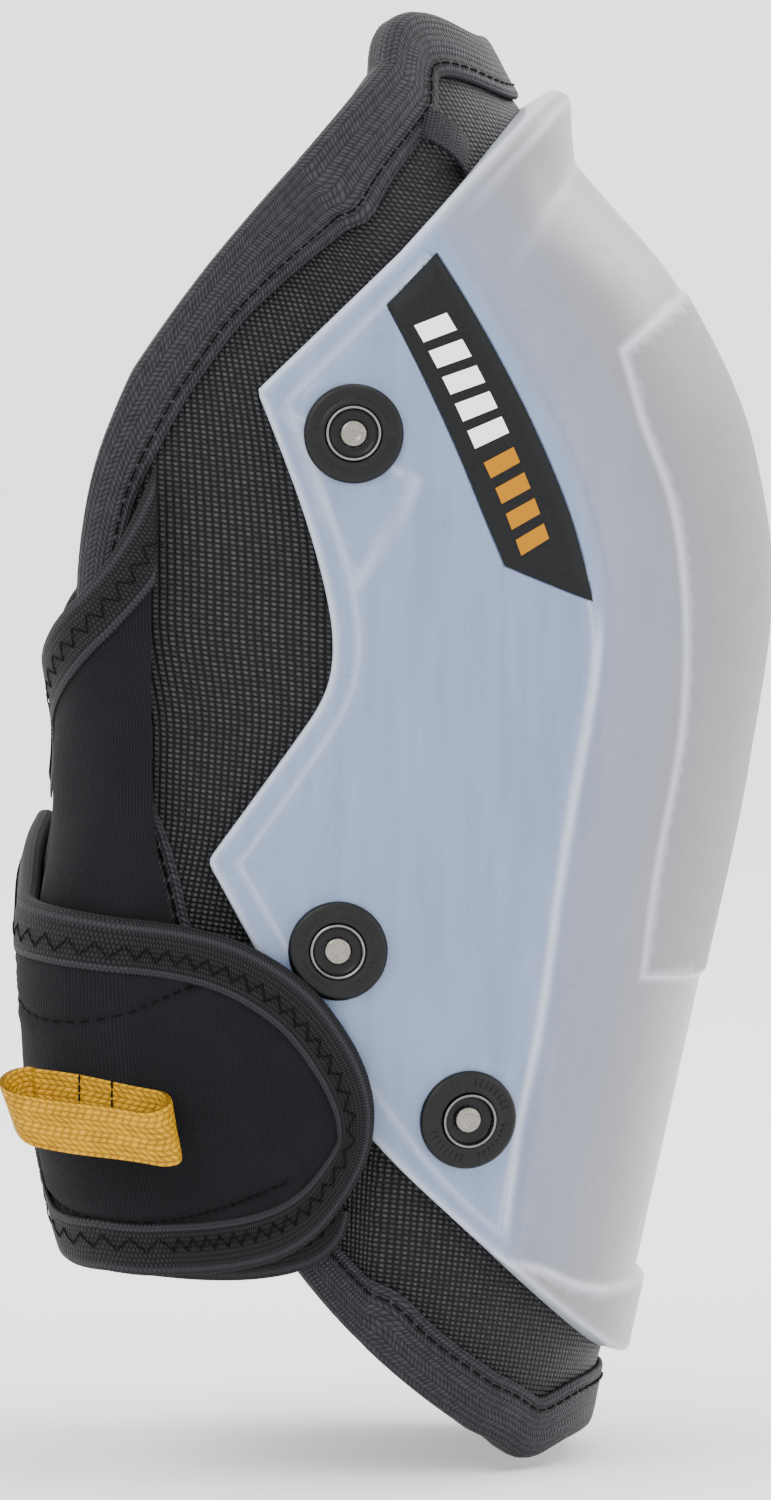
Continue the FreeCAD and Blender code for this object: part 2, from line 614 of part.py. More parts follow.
def build_strap():
    point, axis = strap_hinge()
    s = -(2 + STRAP_HINGE_TURN / 90)
    outward = ring_normal(-80.0, s)
    along = axis.cross(outward).normalize()
    gap = 0.15
    ahead = half_space(point + along * gap, along)
    behind = half_space(point - along * gap, along * -1)
    cloth = wrap_layer(*STRAP)
    full = wrap_layer(*STRAP_BAND)
    core = wrap_layer(STRAP[0] - 0.05, STRAP[1] + 0.05)
    side, side_core, side_window = (side_prism(STRAP_OUTLINE, d) for d in (0.0, 0.8, BAND_WIDTH))
    rear, rear_core, rear_window = (rear_prism(STRAP_REAR_TOP, STRAP_REAR_BOTTOM, -REACH, STRAP_ROOT_Y, d)
                                    for d in (0.0, 0.8, BAND_WIDTH))
    save("strap_end", cloth.common(side_core).common(ahead))
    save("strap_end_band", band_of(full.common(side), core.common(side_core), side_window).common(ahead))
    save("strap_rear", cloth.common(rear_core).common(behind))
    rear_band = band_of(full.common(rear), core.common(rear_core), rear_window).common(behind)
    save("strap_rear_band_upper", rear_band.common(box_between((-140, -REACH, -75), (20, REACH, 0))))
    save("strap_rear_band_lower", rear_band.common(box_between((-140, -REACH, -140), (20, REACH, -75))))
    hook_outline = side_prism(STRAP_OUTLINE, BAND_WIDTH + 1.5)
    hook = wrap_layer(STRAP[1] + 0.05, STRAP_BAND[1] - 0.1).common(hook_outline)
    save("hook_patch", hook.common(ahead).common(box_between((-120, -REACH, -120), (-22, 0, -40))))
    join = wrap_layer(STRAP[1] + 0.2, WING[0] - 0.85).common(
        rear_prism(STRAP_REAR_TOP, STRAP_REAR_BOTTOM, WING_END_Y + 4, STRAP_ROOT_Y - 2, BAND_WIDTH + 1))
    save("strap_join_patch", join)


def tab_frame():
    """(point on the strap, along, outward) of the pull tab."""
    x, z = TAB_CENTRE
    ring, normal = flank_frame(x, z, -1)
    turn, slope = math.radians(TAB_TURN), math.radians(TAB_SLOPE)
    outward = Vector(-math.sin(turn), -math.cos(turn), 0)
    flat = Vector(math.cos(turn), -math.sin(turn), 0)
    along = flat * math.cos(slope) - Vector(0, 0, 1) * math.sin(slope)
    return ring + normal * (-STRAP[0] + 0.35), along, outward


def tab_hinge():
    """(point, direction) of the line where the tab's open ring folds."""
    origin, along, outward = tab_frame()
    drop = TAB_PIVOT * TAB_DROOP / TAB_DEPTH
    return origin + outward * TAB_PIVOT - Vector(0, 0, drop), along


def stadium(length, depth):
    """A closed rounded bar from 0 to depth outward, in plan."""
    r = depth / 2
    a = length / 2 - r
    edges = [
        Part.LineSegment(Vector(-a, 0, 0), Vector(a, 0, 0)).toShape(),
        Part.Arc(Vector(a, 0, 0), Vector(a + r, r, 0), Vector(a, depth, 0)).toShape(),
        Part.LineSegment(Vector(a, depth, 0), Vector(-a, depth, 0)).toShape(),
        Part.Arc(Vector(-a, depth, 0), Vector(-a - r, r, 0), Vector(-a, 0, 0)).toShape(),
    ]
    return Part.Wire(edges)


def build_tab():
    origin, along, outward = tab_frame()
    droop = math.atan2(TAB_DROOP, TAB_DEPTH)
    inner = stadium(TAB_LENGTH - 2 * TAB_THICK, TAB_DEPTH - 2 * TAB_THICK)
    inner.translate(Vector(0, TAB_THICK, 0))
    loop = Part.Face(stadium(TAB_LENGTH, TAB_DEPTH)).extrude(Vector(0, 0, TAB_HEIGHT))
    loop = loop.cut(Part.Face(inner).extrude(Vector(0, 0, TAB_HEIGHT)))
    sheared = FreeCAD.Matrix()
    sheared.A32 = -math.tan(droop)
    sheared.A34 = -TAB_HEIGHT / 2
    loop = loop.transformGeometry(sheared)
    frame = FreeCAD.Matrix()
    up = Vector(0, 0, 1)
    for row, (a, o, u, p) in enumerate(zip(along, outward, up, origin)):
        for column, value in enumerate((a, o, u, p)):
            setattr(frame, "A%d%d" % (row + 1, column + 1), value)

    def placed(shape):
        return shape.transformGeometry(frame)

    outer = loop.common(box_between((-60, TAB_PIVOT, -40), (60, 60, 40)))
    save("pull_tab", placed(outer))
    x, z = TAB_CENTRE
    half = TAB_HEIGHT / 2
    sewn = wrap_layer(STRAP[0] - 0.1 - TAB_THICK, STRAP[0] - 0.1)
    save("pull_tab_base", sewn.common(box_between((x - 5.5, -REACH, z - half), (x + 8, 0, z + half))))


def build_keepers():
    tape = layer(KEEPER_DEPTHS[0], FABRIC[0] - 0.05).common(side_prism(KEEPER_OUTLINE))
    ends = [(4.6, 98.2), (10.9, 105.6), (20.2, 97.9), (13.6, 91.3)]
    run = Vector(ends[3][0] - ends[0][0], 0, ends[3][1] - ends[0][1]).normalize() * 2.2
    a, b, c, d = [Vector(x, -REACH, z) for x, z in ends]
    lead = Vector(ends[1][0] - ends[0][0], 0, ends[1][1] - ends[0][1]).normalize() * 6
    under = Part.Face(Part.makePolygon([a + run - lead, b + run + lead, c - run + lead, d - run - lead,
                                        a + run - lead])).extrude(Vector(0, 2 * REACH, 0))
    tape = tape.cut(layer(KEEPER_DEPTHS[1], FABRIC[0] + 0.5).common(under))
    near = tape.common(box_between((-90, -REACH, 60), (110, 0, 140)))
    save("shell_keeper_near", near)
    save("shell_keeper_far", mirrored(near))


def print_frame():
    """Numbers that the record repeats."""
    point, axis = strap_hinge()
    print("strap hinge", point, axis)
    print("tab hinge", *tab_hinge())
    print("wing hinge y", half_width(36) + 1.6, half_width(-116) + 1.6)


build_pad()
build_shell()
build_snaps()
build_wings()
build_strap()
build_tab()
build_keepers()
print_frame()
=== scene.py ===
"""The looks of the knee pad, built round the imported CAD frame.

Every layer is an offset of the same ring surface as the CAD: a rounded front, straight flanks,
rounded rear corners and a shallow bulged back. A place on it is (g, z): g is the way round in
millimetres, 0 at the front's middle, negative on the near side (-Y), and z is the height. Depth is
measured inwards from the ring. Lengths are millimetres until a mesh is made.
"""
import math

import bmesh
import bpy
import numpy as np
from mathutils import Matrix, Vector
from mathutils.geometry import delaunay_2d_cdt
from mathutils.kdtree import KDTree


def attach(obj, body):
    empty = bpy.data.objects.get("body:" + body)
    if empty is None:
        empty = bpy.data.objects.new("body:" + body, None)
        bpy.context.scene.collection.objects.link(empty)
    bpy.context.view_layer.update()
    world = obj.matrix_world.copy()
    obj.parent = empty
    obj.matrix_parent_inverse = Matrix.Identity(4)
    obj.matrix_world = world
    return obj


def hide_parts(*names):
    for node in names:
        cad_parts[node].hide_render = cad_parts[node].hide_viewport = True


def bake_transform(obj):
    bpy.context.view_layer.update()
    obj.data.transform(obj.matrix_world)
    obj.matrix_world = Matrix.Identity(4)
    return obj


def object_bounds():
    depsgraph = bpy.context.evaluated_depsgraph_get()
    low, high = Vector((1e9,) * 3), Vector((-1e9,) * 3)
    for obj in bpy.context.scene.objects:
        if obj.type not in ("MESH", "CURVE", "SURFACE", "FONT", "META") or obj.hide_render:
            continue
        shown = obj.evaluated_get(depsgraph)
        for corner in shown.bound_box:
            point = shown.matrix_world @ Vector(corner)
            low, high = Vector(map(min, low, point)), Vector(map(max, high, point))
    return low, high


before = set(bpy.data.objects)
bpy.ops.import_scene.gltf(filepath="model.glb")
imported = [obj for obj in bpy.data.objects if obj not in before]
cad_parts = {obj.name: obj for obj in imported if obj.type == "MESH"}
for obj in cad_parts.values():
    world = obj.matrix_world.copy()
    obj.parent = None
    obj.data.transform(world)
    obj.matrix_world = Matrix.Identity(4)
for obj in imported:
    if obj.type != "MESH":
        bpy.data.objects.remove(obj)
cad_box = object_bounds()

MM = 0.001

# ---- the ring surface, as in the CAD -----------------------------------------------------------
FRONT_X = [(-172, 38), (-122, 48.8), (-65, 61.3), (-23, 70.1), (12, 74.5), (37, 71), (68, 57.4),
           (93.5, 36.5), (104, 29.5), (112, 24.8), (124, 19.5), (136, 16)]
HALF_WIDTH = [(-172, 52), (-145, 62), (-118, 70), (-88, 74), (-50, 76), (-10, 76.8), (36, 76),
              (75, 71), (108, 63), (136, 56)]
FRONT_ROUNDING = [(-172, 46), (-120, 52), (-88, 56), (-30, 54), (10, 52), (70, 54), (136, 48)]
REAR_X = [(-172, -48), (-120, -57.5), (-105, -61), (-77, -66.2), (-55, -67.2), (-30, -63.8),
          (-15, -63.6), (8, -67), (60, -67), (136, -62)]
FRONT_POWER, CORNER_DEPTH, CORNER_WIDTH, BACK_BULGE = 2.2, 17.5, 20.0, 1.5
# g where the front, the flank and the corner end, and g of the back's middle
ROUND = [0.0, 95.0, 163.0, 192.0, 248.0]
MIDDLE = ROUND[-1]


def smooth(points):
    """A smooth function through (input, output) points that doesn't overshoot between them."""
    xs, ys = np.array([p[0] for p in points], float), np.array([p[1] for p in points], float)
    step = np.diff(xs)
    rise = np.diff(ys) / step
    inner = [0.0 if a * b <= 0 else 2 * a * b / (a + b) for a, b in zip(rise, rise[1:])]
    slopes = np.array([rise[0]] + inner + [rise[-1]])

    def value(x):
        x = np.asarray(x, float)
        i = np.clip(np.searchsorted(xs, x, side="right") - 1, 0, len(xs) - 2)
        h = step[i]
        t = np.clip((x - xs[i]) / h, 0, 1)
        y = ((2 * t**3 - 3 * t**2 + 1) * ys[i] + (t**3 - 2 * t**2 + t) * h * slopes[i]
             + (3 * t**2 - 2 * t**3) * ys[i + 1] + (t**3 - t**2) * h * slopes[i + 1])
        return y + np.minimum(x - xs[0], 0) * slopes[0] + np.maximum(x - xs[-1], 0) * slopes[-1]

    return value


front_x, half_width = smooth(FRONT_X), smooth(HALF_WIDTH)
front_rounding, rear_x = smooth(FRONT_ROUNDING), smooth(REAR_X)


def ring(g, z):
    """Points of the ring surface."""
    g, z = np.broadcast_arrays(np.asarray(g, float), np.asarray(z, float))
    side, a = np.where(g < 0, -1.0, 1.0), np.abs(g)
    side = np.where(a > MIDDLE, -side, side)
    a = np.where(a > MIDDLE, 2 * MIDDLE - a, a)
    s = np.interp(a, ROUND, range(5))
    width, rounding = half_width(z), front_rounding(z)
    shoulder, corner = front_x(z) - rounding, rear_x(z) + BACK_BULGE + CORNER_DEPTH
    turn = np.radians(90 * (1 - np.clip(s, 0, 1)))
    power = 2 / FRONT_POWER
    x1 = shoulder + rounding * np.maximum(np.sin(turn), 0) ** power
    y1 = width * np.maximum(np.cos(turn), 0) ** power
    x2 = shoulder + (corner - shoulder) * (s - 1)
    turn = np.radians(90 * np.clip(s - 2, 0, 1))
    x3, y3 = corner - CORNER_DEPTH * np.sin(turn), width - CORNER_WIDTH * (1 - np.cos(turn))
    u = np.clip(s - 3, 0, 1)
    x4 = rear_x(z) + BACK_BULGE * (1 + np.cos(math.pi * u)) / 2
    y4 = (width - CORNER_WIDTH) * (1 - u)
    x = np.select([s <= 1, s <= 2, s <= 3], [x1, x2, x3], x4)
    y = np.select([s <= 1, s <= 2, s <= 3], [y1, width, y3], y4)
    return np.stack([x, side * y, z], -1)


def ring_normal(g, z):
    across = ring(g + 0.5, z) - ring(g - 0.5, z)
    up = ring(g, z + 0.25) - ring(g, z - 0.25)
    n = np.cross(across, up)
    return n / np.linalg.norm(n, axis=-1, keepdims=True)


def at_depth(g, z, depth):
    g, z, depth = np.broadcast_arrays(*(np.asarray(v, float) for v in (g, z, depth)))
    return ring(g, z) - ring_normal(g, z) * depth[..., None]


def way_round(x, z):
    """g, without its sign, of the ring where it passes over a side-view point."""
    x, z = np.asarray(x, float), np.asarray(z, float)
    rounding = front_rounding(z)
    shoulder, corner = front_x(z) - rounding, rear_x(z) + BACK_BULGE + CORNER_DEPTH
    ahead = np.clip((x - shoulder) / rounding, 0, 1)
    s1 = 1 - np.degrees(np.arcsin(ahead ** (FRONT_POWER / 2))) / 90
    s2 = 1 + (shoulder - x) / (shoulder - corner)
    s3 = 2 + np.degrees(np.arcsin(np.clip((corner - x) / CORNER_DEPTH, 0, 1))) / 90
    return np.interp(np.select([x >= shoulder, x >= corner], [s1, s2], s3), range(5), ROUND)


def on_line(g, x0, z0, slope, low, high):
    """Heights where the ring at each g crosses the side-view line through (x0, z0)."""
    g = np.asarray(g, float)
    low, high = np.full(g.shape, float(low)), np.full(g.shape, float(high))
    rising = 1.0 if slope > 0 else -1.0
    for _ in range(40):
        mid = (low + high) / 2
        below = mid < z0 + slope * (ring(g, mid)[..., 0] - x0)
        low, high = np.where(below, mid, low), np.where(below, high, mid)
    return (low + high) / 2


# ---- outlines ----------------------------------------------------------------------------------
def spline(points, step=1.2):
    """A smooth curve through points, cut into short steps."""
    p = np.array(points, float)
    if len(p) == 2:
        n = max(1, int(round(np.linalg.norm(p[1] - p[0]) / step)))
        return p[0] + (p[1] - p[0]) * (np.arange(n + 1) / n)[:, None]
    t = np.concatenate([[0], np.cumsum(np.linalg.norm(np.diff(p, axis=0), axis=1))])
    n = len(p)
    h = np.diff(t)
    matrix, rhs = np.zeros((n, n)), np.zeros((n, p.shape[1]))
    matrix[0, 0] = matrix[-1, -1] = 1
    for i in range(1, n - 1):
        matrix[i, i - 1:i + 2] = h[i - 1], 2 * (h[i - 1] + h[i]), h[i]
        rhs[i] = 6 * ((p[i + 1] - p[i]) / h[i] - (p[i] - p[i - 1]) / h[i - 1])
    bend = np.linalg.solve(matrix, rhs)
    q = np.linspace(0, t[-1], max(2, int(round(t[-1] / step)) + 1))
    i = np.clip(np.searchsorted(t, q, side="right") - 1, 0, n - 2)
    a, b = ((t[i + 1] - q) / h[i])[:, None], ((q - t[i]) / h[i])[:, None]
    hh = (h[i] ** 2 / 6)[:, None]
    return a * p[i] + b * p[i + 1] + ((a**3 - a) * bend[i] + (b**3 - b) * bend[i + 1]) * hh


def chain(*runs):
    """Runs of points joined end to end, without repeats."""
    out = []
    for run in runs:
        for p in run:
            if not out or math.hypot(p[0] - out[-1][0], p[1] - out[-1][1]) > 0.05:
                out.append((float(p[0]), float(p[1])))
    return np.array(out)


def closed(points):
    """A run without its last point if that repeats the first."""
    return points[:-1] if np.linalg.norm(points[0] - points[-1]) < 0.05 else points


def on_side(points):
    """Side-view (x, z) points as (g, z), with g positive."""
    p = np.array(points, float)
    return np.stack([way_round(p[:, 0], p[:, 1]), p[:, 1]], -1)


def on_back(points):
    """Rear-view (y, z) points as (g, z), counted the way the near side runs, with g positive."""
    p = np.array(points, float)
    half_back = half_width(p[:, 1]) - CORNER_WIDTH
    return np.stack([MIDDLE + p[:, 0] * (MIDDLE - ROUND[3]) / half_back, p[:, 1]], -1)


def side_point(x, z):
    return tuple(on_side([(x, z)])[0])


def back_point(y, z):
    return tuple(on_back([(y, z)])[0])


def both_sides(half):
    """A full outline from one half, given with g positive from the bottom's middle to the top's."""
    near = half * [-1, 1]
    return closed(chain(near, half[::-1]))


def distance(points, line, shut=True):
    """Distance of each point from a line of points."""
    p = np.asarray(points, float)
    a = np.asarray(line, float)
    b = np.roll(a, -1, axis=0)
    if not shut:
        a, b = a[:-1], b[:-1]
    out = np.empty(len(p))
    for k in range(0, len(p), 4000):
        q = p[k:k + 4000, None, :]
        d = b - a
        t = np.clip(((q - a) * d).sum(-1) / np.maximum((d * d).sum(-1), 1e-12), 0, 1)
        out[k:k + 4000] = np.linalg.norm(q - a - t[..., None] * d, axis=-1).min(1)
    return out


def inside(points, outline):
    """True for each point inside an outline."""
    p = np.asarray(points, float)
    a, b = np.asarray(outline, float), np.roll(outline, -1, axis=0)
    hit = np.zeros(len(p), bool)
    for (ax, az), (bx, bz) in zip(a, b):
        if az == bz:
            continue
        crosses = (az > p[:, 1]) != (bz > p[:, 1])
        hit ^= crosses & (p[:, 0] < ax + (p[:, 1] - az) * (bx - ax) / (bz - az))
    return hit


def twice_area(outline):
    """Twice the area inside an outline, positive when it runs anticlockwise."""
    after = np.roll(outline, -1, axis=0)
    return (outline[:, 0] * after[:, 1] - after[:, 0] * outline[:, 1]).sum()


def inward_side(outline):
    """1 when the inside lies to the left of an outline's way, and -1 when it lies to the right."""
    return 1.0 if twice_area(outline) > 0 else -1.0


def within(points, outline):
    """Signed distance from an outline, positive inside."""
    return np.where(inside(points, outline), 1.0, -1.0) * distance(points, outline)


def ramp(value, low, high):
    """0 below low, 1 above high and smooth between them."""
    t = np.clip((np.asarray(value, float) - low) / (high - low), 0, 1)
    return t * t * (3 - 2 * t)


def bell(value, middle, width):
    """1 at the middle, falling off smoothly on both sides."""
    return np.exp(-((value - middle) / width) ** 2)


def shifted(line, amount, shut=True):
    """A line of points moved sideways, to its left."""
    p = np.asarray(line, float)
    if shut:
        tangent = np.roll(p, -1, axis=0) - np.roll(p, 1, axis=0)
    else:
        tangent = np.gradient(p, axis=0)
    tangent /= np.maximum(np.linalg.norm(tangent, axis=1, keepdims=True), 1e-9)
    return p + np.stack([-tangent[:, 1], tangent[:, 0]], -1) * amount


# ---- meshes ------------------------------------------------------------------------------------
def fill(outline, spacing, features, steps, feature_steps=(-1.0, -0.4, 0.4, 1.0)):
    """Triangles over an outline: fine along it and along each feature line, even elsewhere."""
    outline = np.asarray(outline, float)
    low, high = outline.min(0), outline.max(0)
    rows = np.arange(low[1] + spacing / 2, high[1], spacing * 0.87)
    grid = [np.arange(low[0] + (k % 2) * spacing / 2, high[0], spacing) for k in range(len(rows))]
    free = np.concatenate([np.stack([g, np.full_like(g, z)], -1) for g, z in zip(grid, rows)])
    keep = inside(free, outline) & (distance(free, outline) > max(steps) + spacing * 0.45)
    for line in features:
        keep &= distance(free, line, False) > max(feature_steps) + spacing * 0.35
    points = [free[keep]]
    side = inward_side(outline)
    for d in steps:
        loop = shifted(outline, side * d)
        points.append(loop[inside(loop, outline) & (distance(loop, outline) > d * 0.85)])
    for line in features:
        for d in feature_steps:
            extra = shifted(line, d, False)
            ok = inside(extra, outline) & (distance(extra, outline) > max(steps) + 0.3)
            ok &= distance(extra, line, False) > abs(d) * 0.8
            points.append(extra[ok])
    points = np.concatenate([outline] + points)
    n = len(outline)
    border = [(i, (i + 1) % n) for i in range(n)]
    result = delaunay_2d_cdt([Vector(p) for p in points], border, [], 1, 1e-4)
    flat = np.array([(v.x, v.y) for v in result[0]])
    faces = [f for f in result[2] if len(f) == 3]
    edges = {}
    for f in faces:
        for i in range(3):
            e = (f[i], f[(i + 1) % 3])
            edges[frozenset(e)] = None if frozenset(e) in edges else e
    return flat, faces, [e for e in edges.values() if e]


def mesh_object(name, vertices, faces, uv=None, sharp=35, scalars=None):
    """An object from millimetre vertices; sharp is the angle above which an edge stays crisp."""
    mesh = bpy.data.meshes.new(name)
    mesh.from_pydata((np.asarray(vertices) * MM).tolist(), [], [list(f) for f in faces])
    obj = bpy.data.objects.new(name, mesh)
    bpy.context.scene.collection.objects.link(obj)
    if uv is not None:
        layer = mesh.uv_layers.new(name="UVMap")
        index = np.empty(len(mesh.loops), np.int32)
        mesh.loops.foreach_get("vertex_index", index)
        layer.data.foreach_set("uv", (np.asarray(uv, float)[index] / 100).ravel())
    for key, values in (scalars or {}).items():
        attribute = mesh.attributes.new(key, "FLOAT", "POINT")
        attribute.data.foreach_set("value", np.asarray(values, np.float32))
    bm = bmesh.new()
    bm.from_mesh(mesh)
    bmesh.ops.recalc_face_normals(bm, faces=bm.faces)
    bm.to_mesh(mesh)
    bm.free()
    mesh.shade_smooth()
    mesh.set_sharp_from_angle(angle=math.radians(sharp))
    return obj


def plate(name, filled, outer, inner, sharp, scalars=None):
    """A closed layer over a filled outline, between two depths."""
    flat, faces, rim = filled
    n = len(flat)
    top, bottom = at_depth(*flat.T, outer), at_depth(*flat.T, inner)
    all_faces = [tuple(f) for f in faces] + [(f[0] + n, f[2] + n, f[1] + n) for f in faces]
    all_faces += [(a, b, b + n, a + n) for a, b in rim]
    doubled = {k: np.concatenate([v, v]) for k, v in (scalars or {}).items()}
    return mesh_object(name, np.concatenate([top, bottom]), all_faces, np.concatenate([flat, flat]),
                       sharp, doubled)


def arc_lengths(points, shut):
    """How far along a line each of its points is."""
    p = np.asarray(points, float)
    d = np.linalg.norm(np.diff(np.concatenate([p, p[:1]]) if shut else p, axis=0), axis=1)
    return np.concatenate([[0], np.cumsum(d)])


def quads(count, m, shut=False):
    """Faces between count closed sections of m points each. Unless the row of sections is shut on
    itself, the first and the last are closed too."""
    faces = []
    for i in range(count if shut else count - 1):
        j = (i + 1) % count
        for k in range(m):
            l = (k + 1) % m
            faces.append((i * m + k, j * m + k, j * m + l, i * m + l))
    if not shut:
        faces += [tuple(range(m)), tuple((count - 1) * m + k for k in range(m))]
    return faces


def tape(name, path, section, shut, side, wobble=None, limit=None):
    """A strip folded over an edge. path is the edge as (g, z), and section is a closed list of
    (way in, depth). side is 1 when the piece lies to the left of the path."""
    path = np.asarray(path, float)
    count, m = len(path), len(section)
    inward = shifted(path, side, shut) - path
    along = arc_lengths(path, shut)
    girth = arc_lengths(section, True)
    vertices, uv = [], []
    for k, (way, depth) in enumerate(section):
        q = path + inward * way
        if limit is not None:
            q = limit(q)
        extra = 0.0 if wobble is None else wobble(along[:count], girth[k], way)
        vertices.append(at_depth(q[:, 0], q[:, 1], depth + extra))
        uv.append(np.stack([along[:count], np.full(count, girth[k])], -1))
    vertices = np.stack(vertices, 1).reshape(-1, 3)
    uv = np.stack(uv, 1).reshape(-1, 2)
    return mesh_object(name, vertices, quads(count, m, shut), uv, 50)


def turned(profile, segments):
    """Vertices and faces of a solid turned about Z, from a closed list of (radius, height)."""
    vertices = []
    for i in range(segments):
        a = 2 * math.pi * i / segments
        vertices += [(r * math.cos(a), r * math.sin(a), h) for r, h in profile]
    return vertices, quads(segments, len(profile), True)


def placed(vertices, point, normal):
    """Vertices with Z turned to the normal, at a point."""
    x = np.cross([0.0, 0.0, 1.0], normal)
    x /= np.linalg.norm(x)
    return np.asarray(vertices, float) @ np.array([x, np.cross(normal, x), normal]) + point


class Pile:
    """Several small meshes gathered into one object."""

    def __init__(self):
        self.vertices, self.faces = [], []

    def add(self, vertices, faces):
        base = len(self.vertices)
        self.vertices += [tuple(v) for v in vertices]
        self.faces += [tuple(i + base for i in f) for f in faces]

    def make(self, name, sharp=35):
        return mesh_object(name, self.vertices, self.faces, np.zeros((len(self.vertices), 2)), sharp)


def thread(pile, points, radius, sides=6):
    """A stitch: a thread that dips at both ends."""
    p = np.asarray(points, float)
    tangent = np.gradient(p, axis=0)
    tangent /= np.linalg.norm(tangent, axis=1, keepdims=True)
    ref = np.array([0.3, 0.2, 0.93])
    vertices = []
    for q, t in zip(p, tangent):
        a = np.cross(t, ref)
        a /= np.linalg.norm(a)
        b = np.cross(t, a)
        for k in range(sides):
            w = 2 * math.pi * k / sides
            vertices.append(q + (a * math.cos(w) + b * math.sin(w)) * radius)
    pile.add(vertices, quads(len(p), sides))


def stitches(pile, path, shut, side, way, depth, length, gap, radius, zigzag=0.0, allowed=None):
    """A row of stitches beside an edge path. way is the way in from it, zigzag the width of a
    zigzag row, and allowed(g, z) says where a stitch may lie."""
    path = np.asarray(path, float)
    inward = shifted(path, side, shut) - path
    line = path + inward * way
    at = arc_lengths(line, shut)
    if shut:
        line, inward = np.concatenate([line, line[:1]]), np.concatenate([inward, inward[:1]])
    pitch = length + gap
    for k in range(int(at[-1] / pitch)):
        start = k * pitch + gap / 2
        t = start + length * np.array([0, 0.12, 0.5, 0.88, 1])
        g, z = np.interp(t, at, line[:, 0]), np.interp(t, at, line[:, 1])
        ig, iz = np.interp(t, at, inward[:, 0]), np.interp(t, at, inward[:, 1])
        if allowed is not None and not allowed(g, z):
            continue
        swing = (np.linspace(-0.5, 0.5, 5) if k % 2 else np.linspace(0.5, -0.5, 5)) * zigzag
        sink = np.array([0.35, 0.02, -0.1, 0.02, 0.35])
        thread(pile, at_depth(g + ig * swing, z + iz * swing, depth + sink), radius)


# ---- materials ---------------------------------------------------------------------------------
def linear(code):
    """A linear colour from a hex code."""
    parts = [int(code[i:i + 2], 16) / 255 for i in (0, 2, 4)]
    return [p / 12.92 if p <= 0.04045 else ((p + 0.055) / 1.055) ** 2.4 for p in parts] + [1.0]


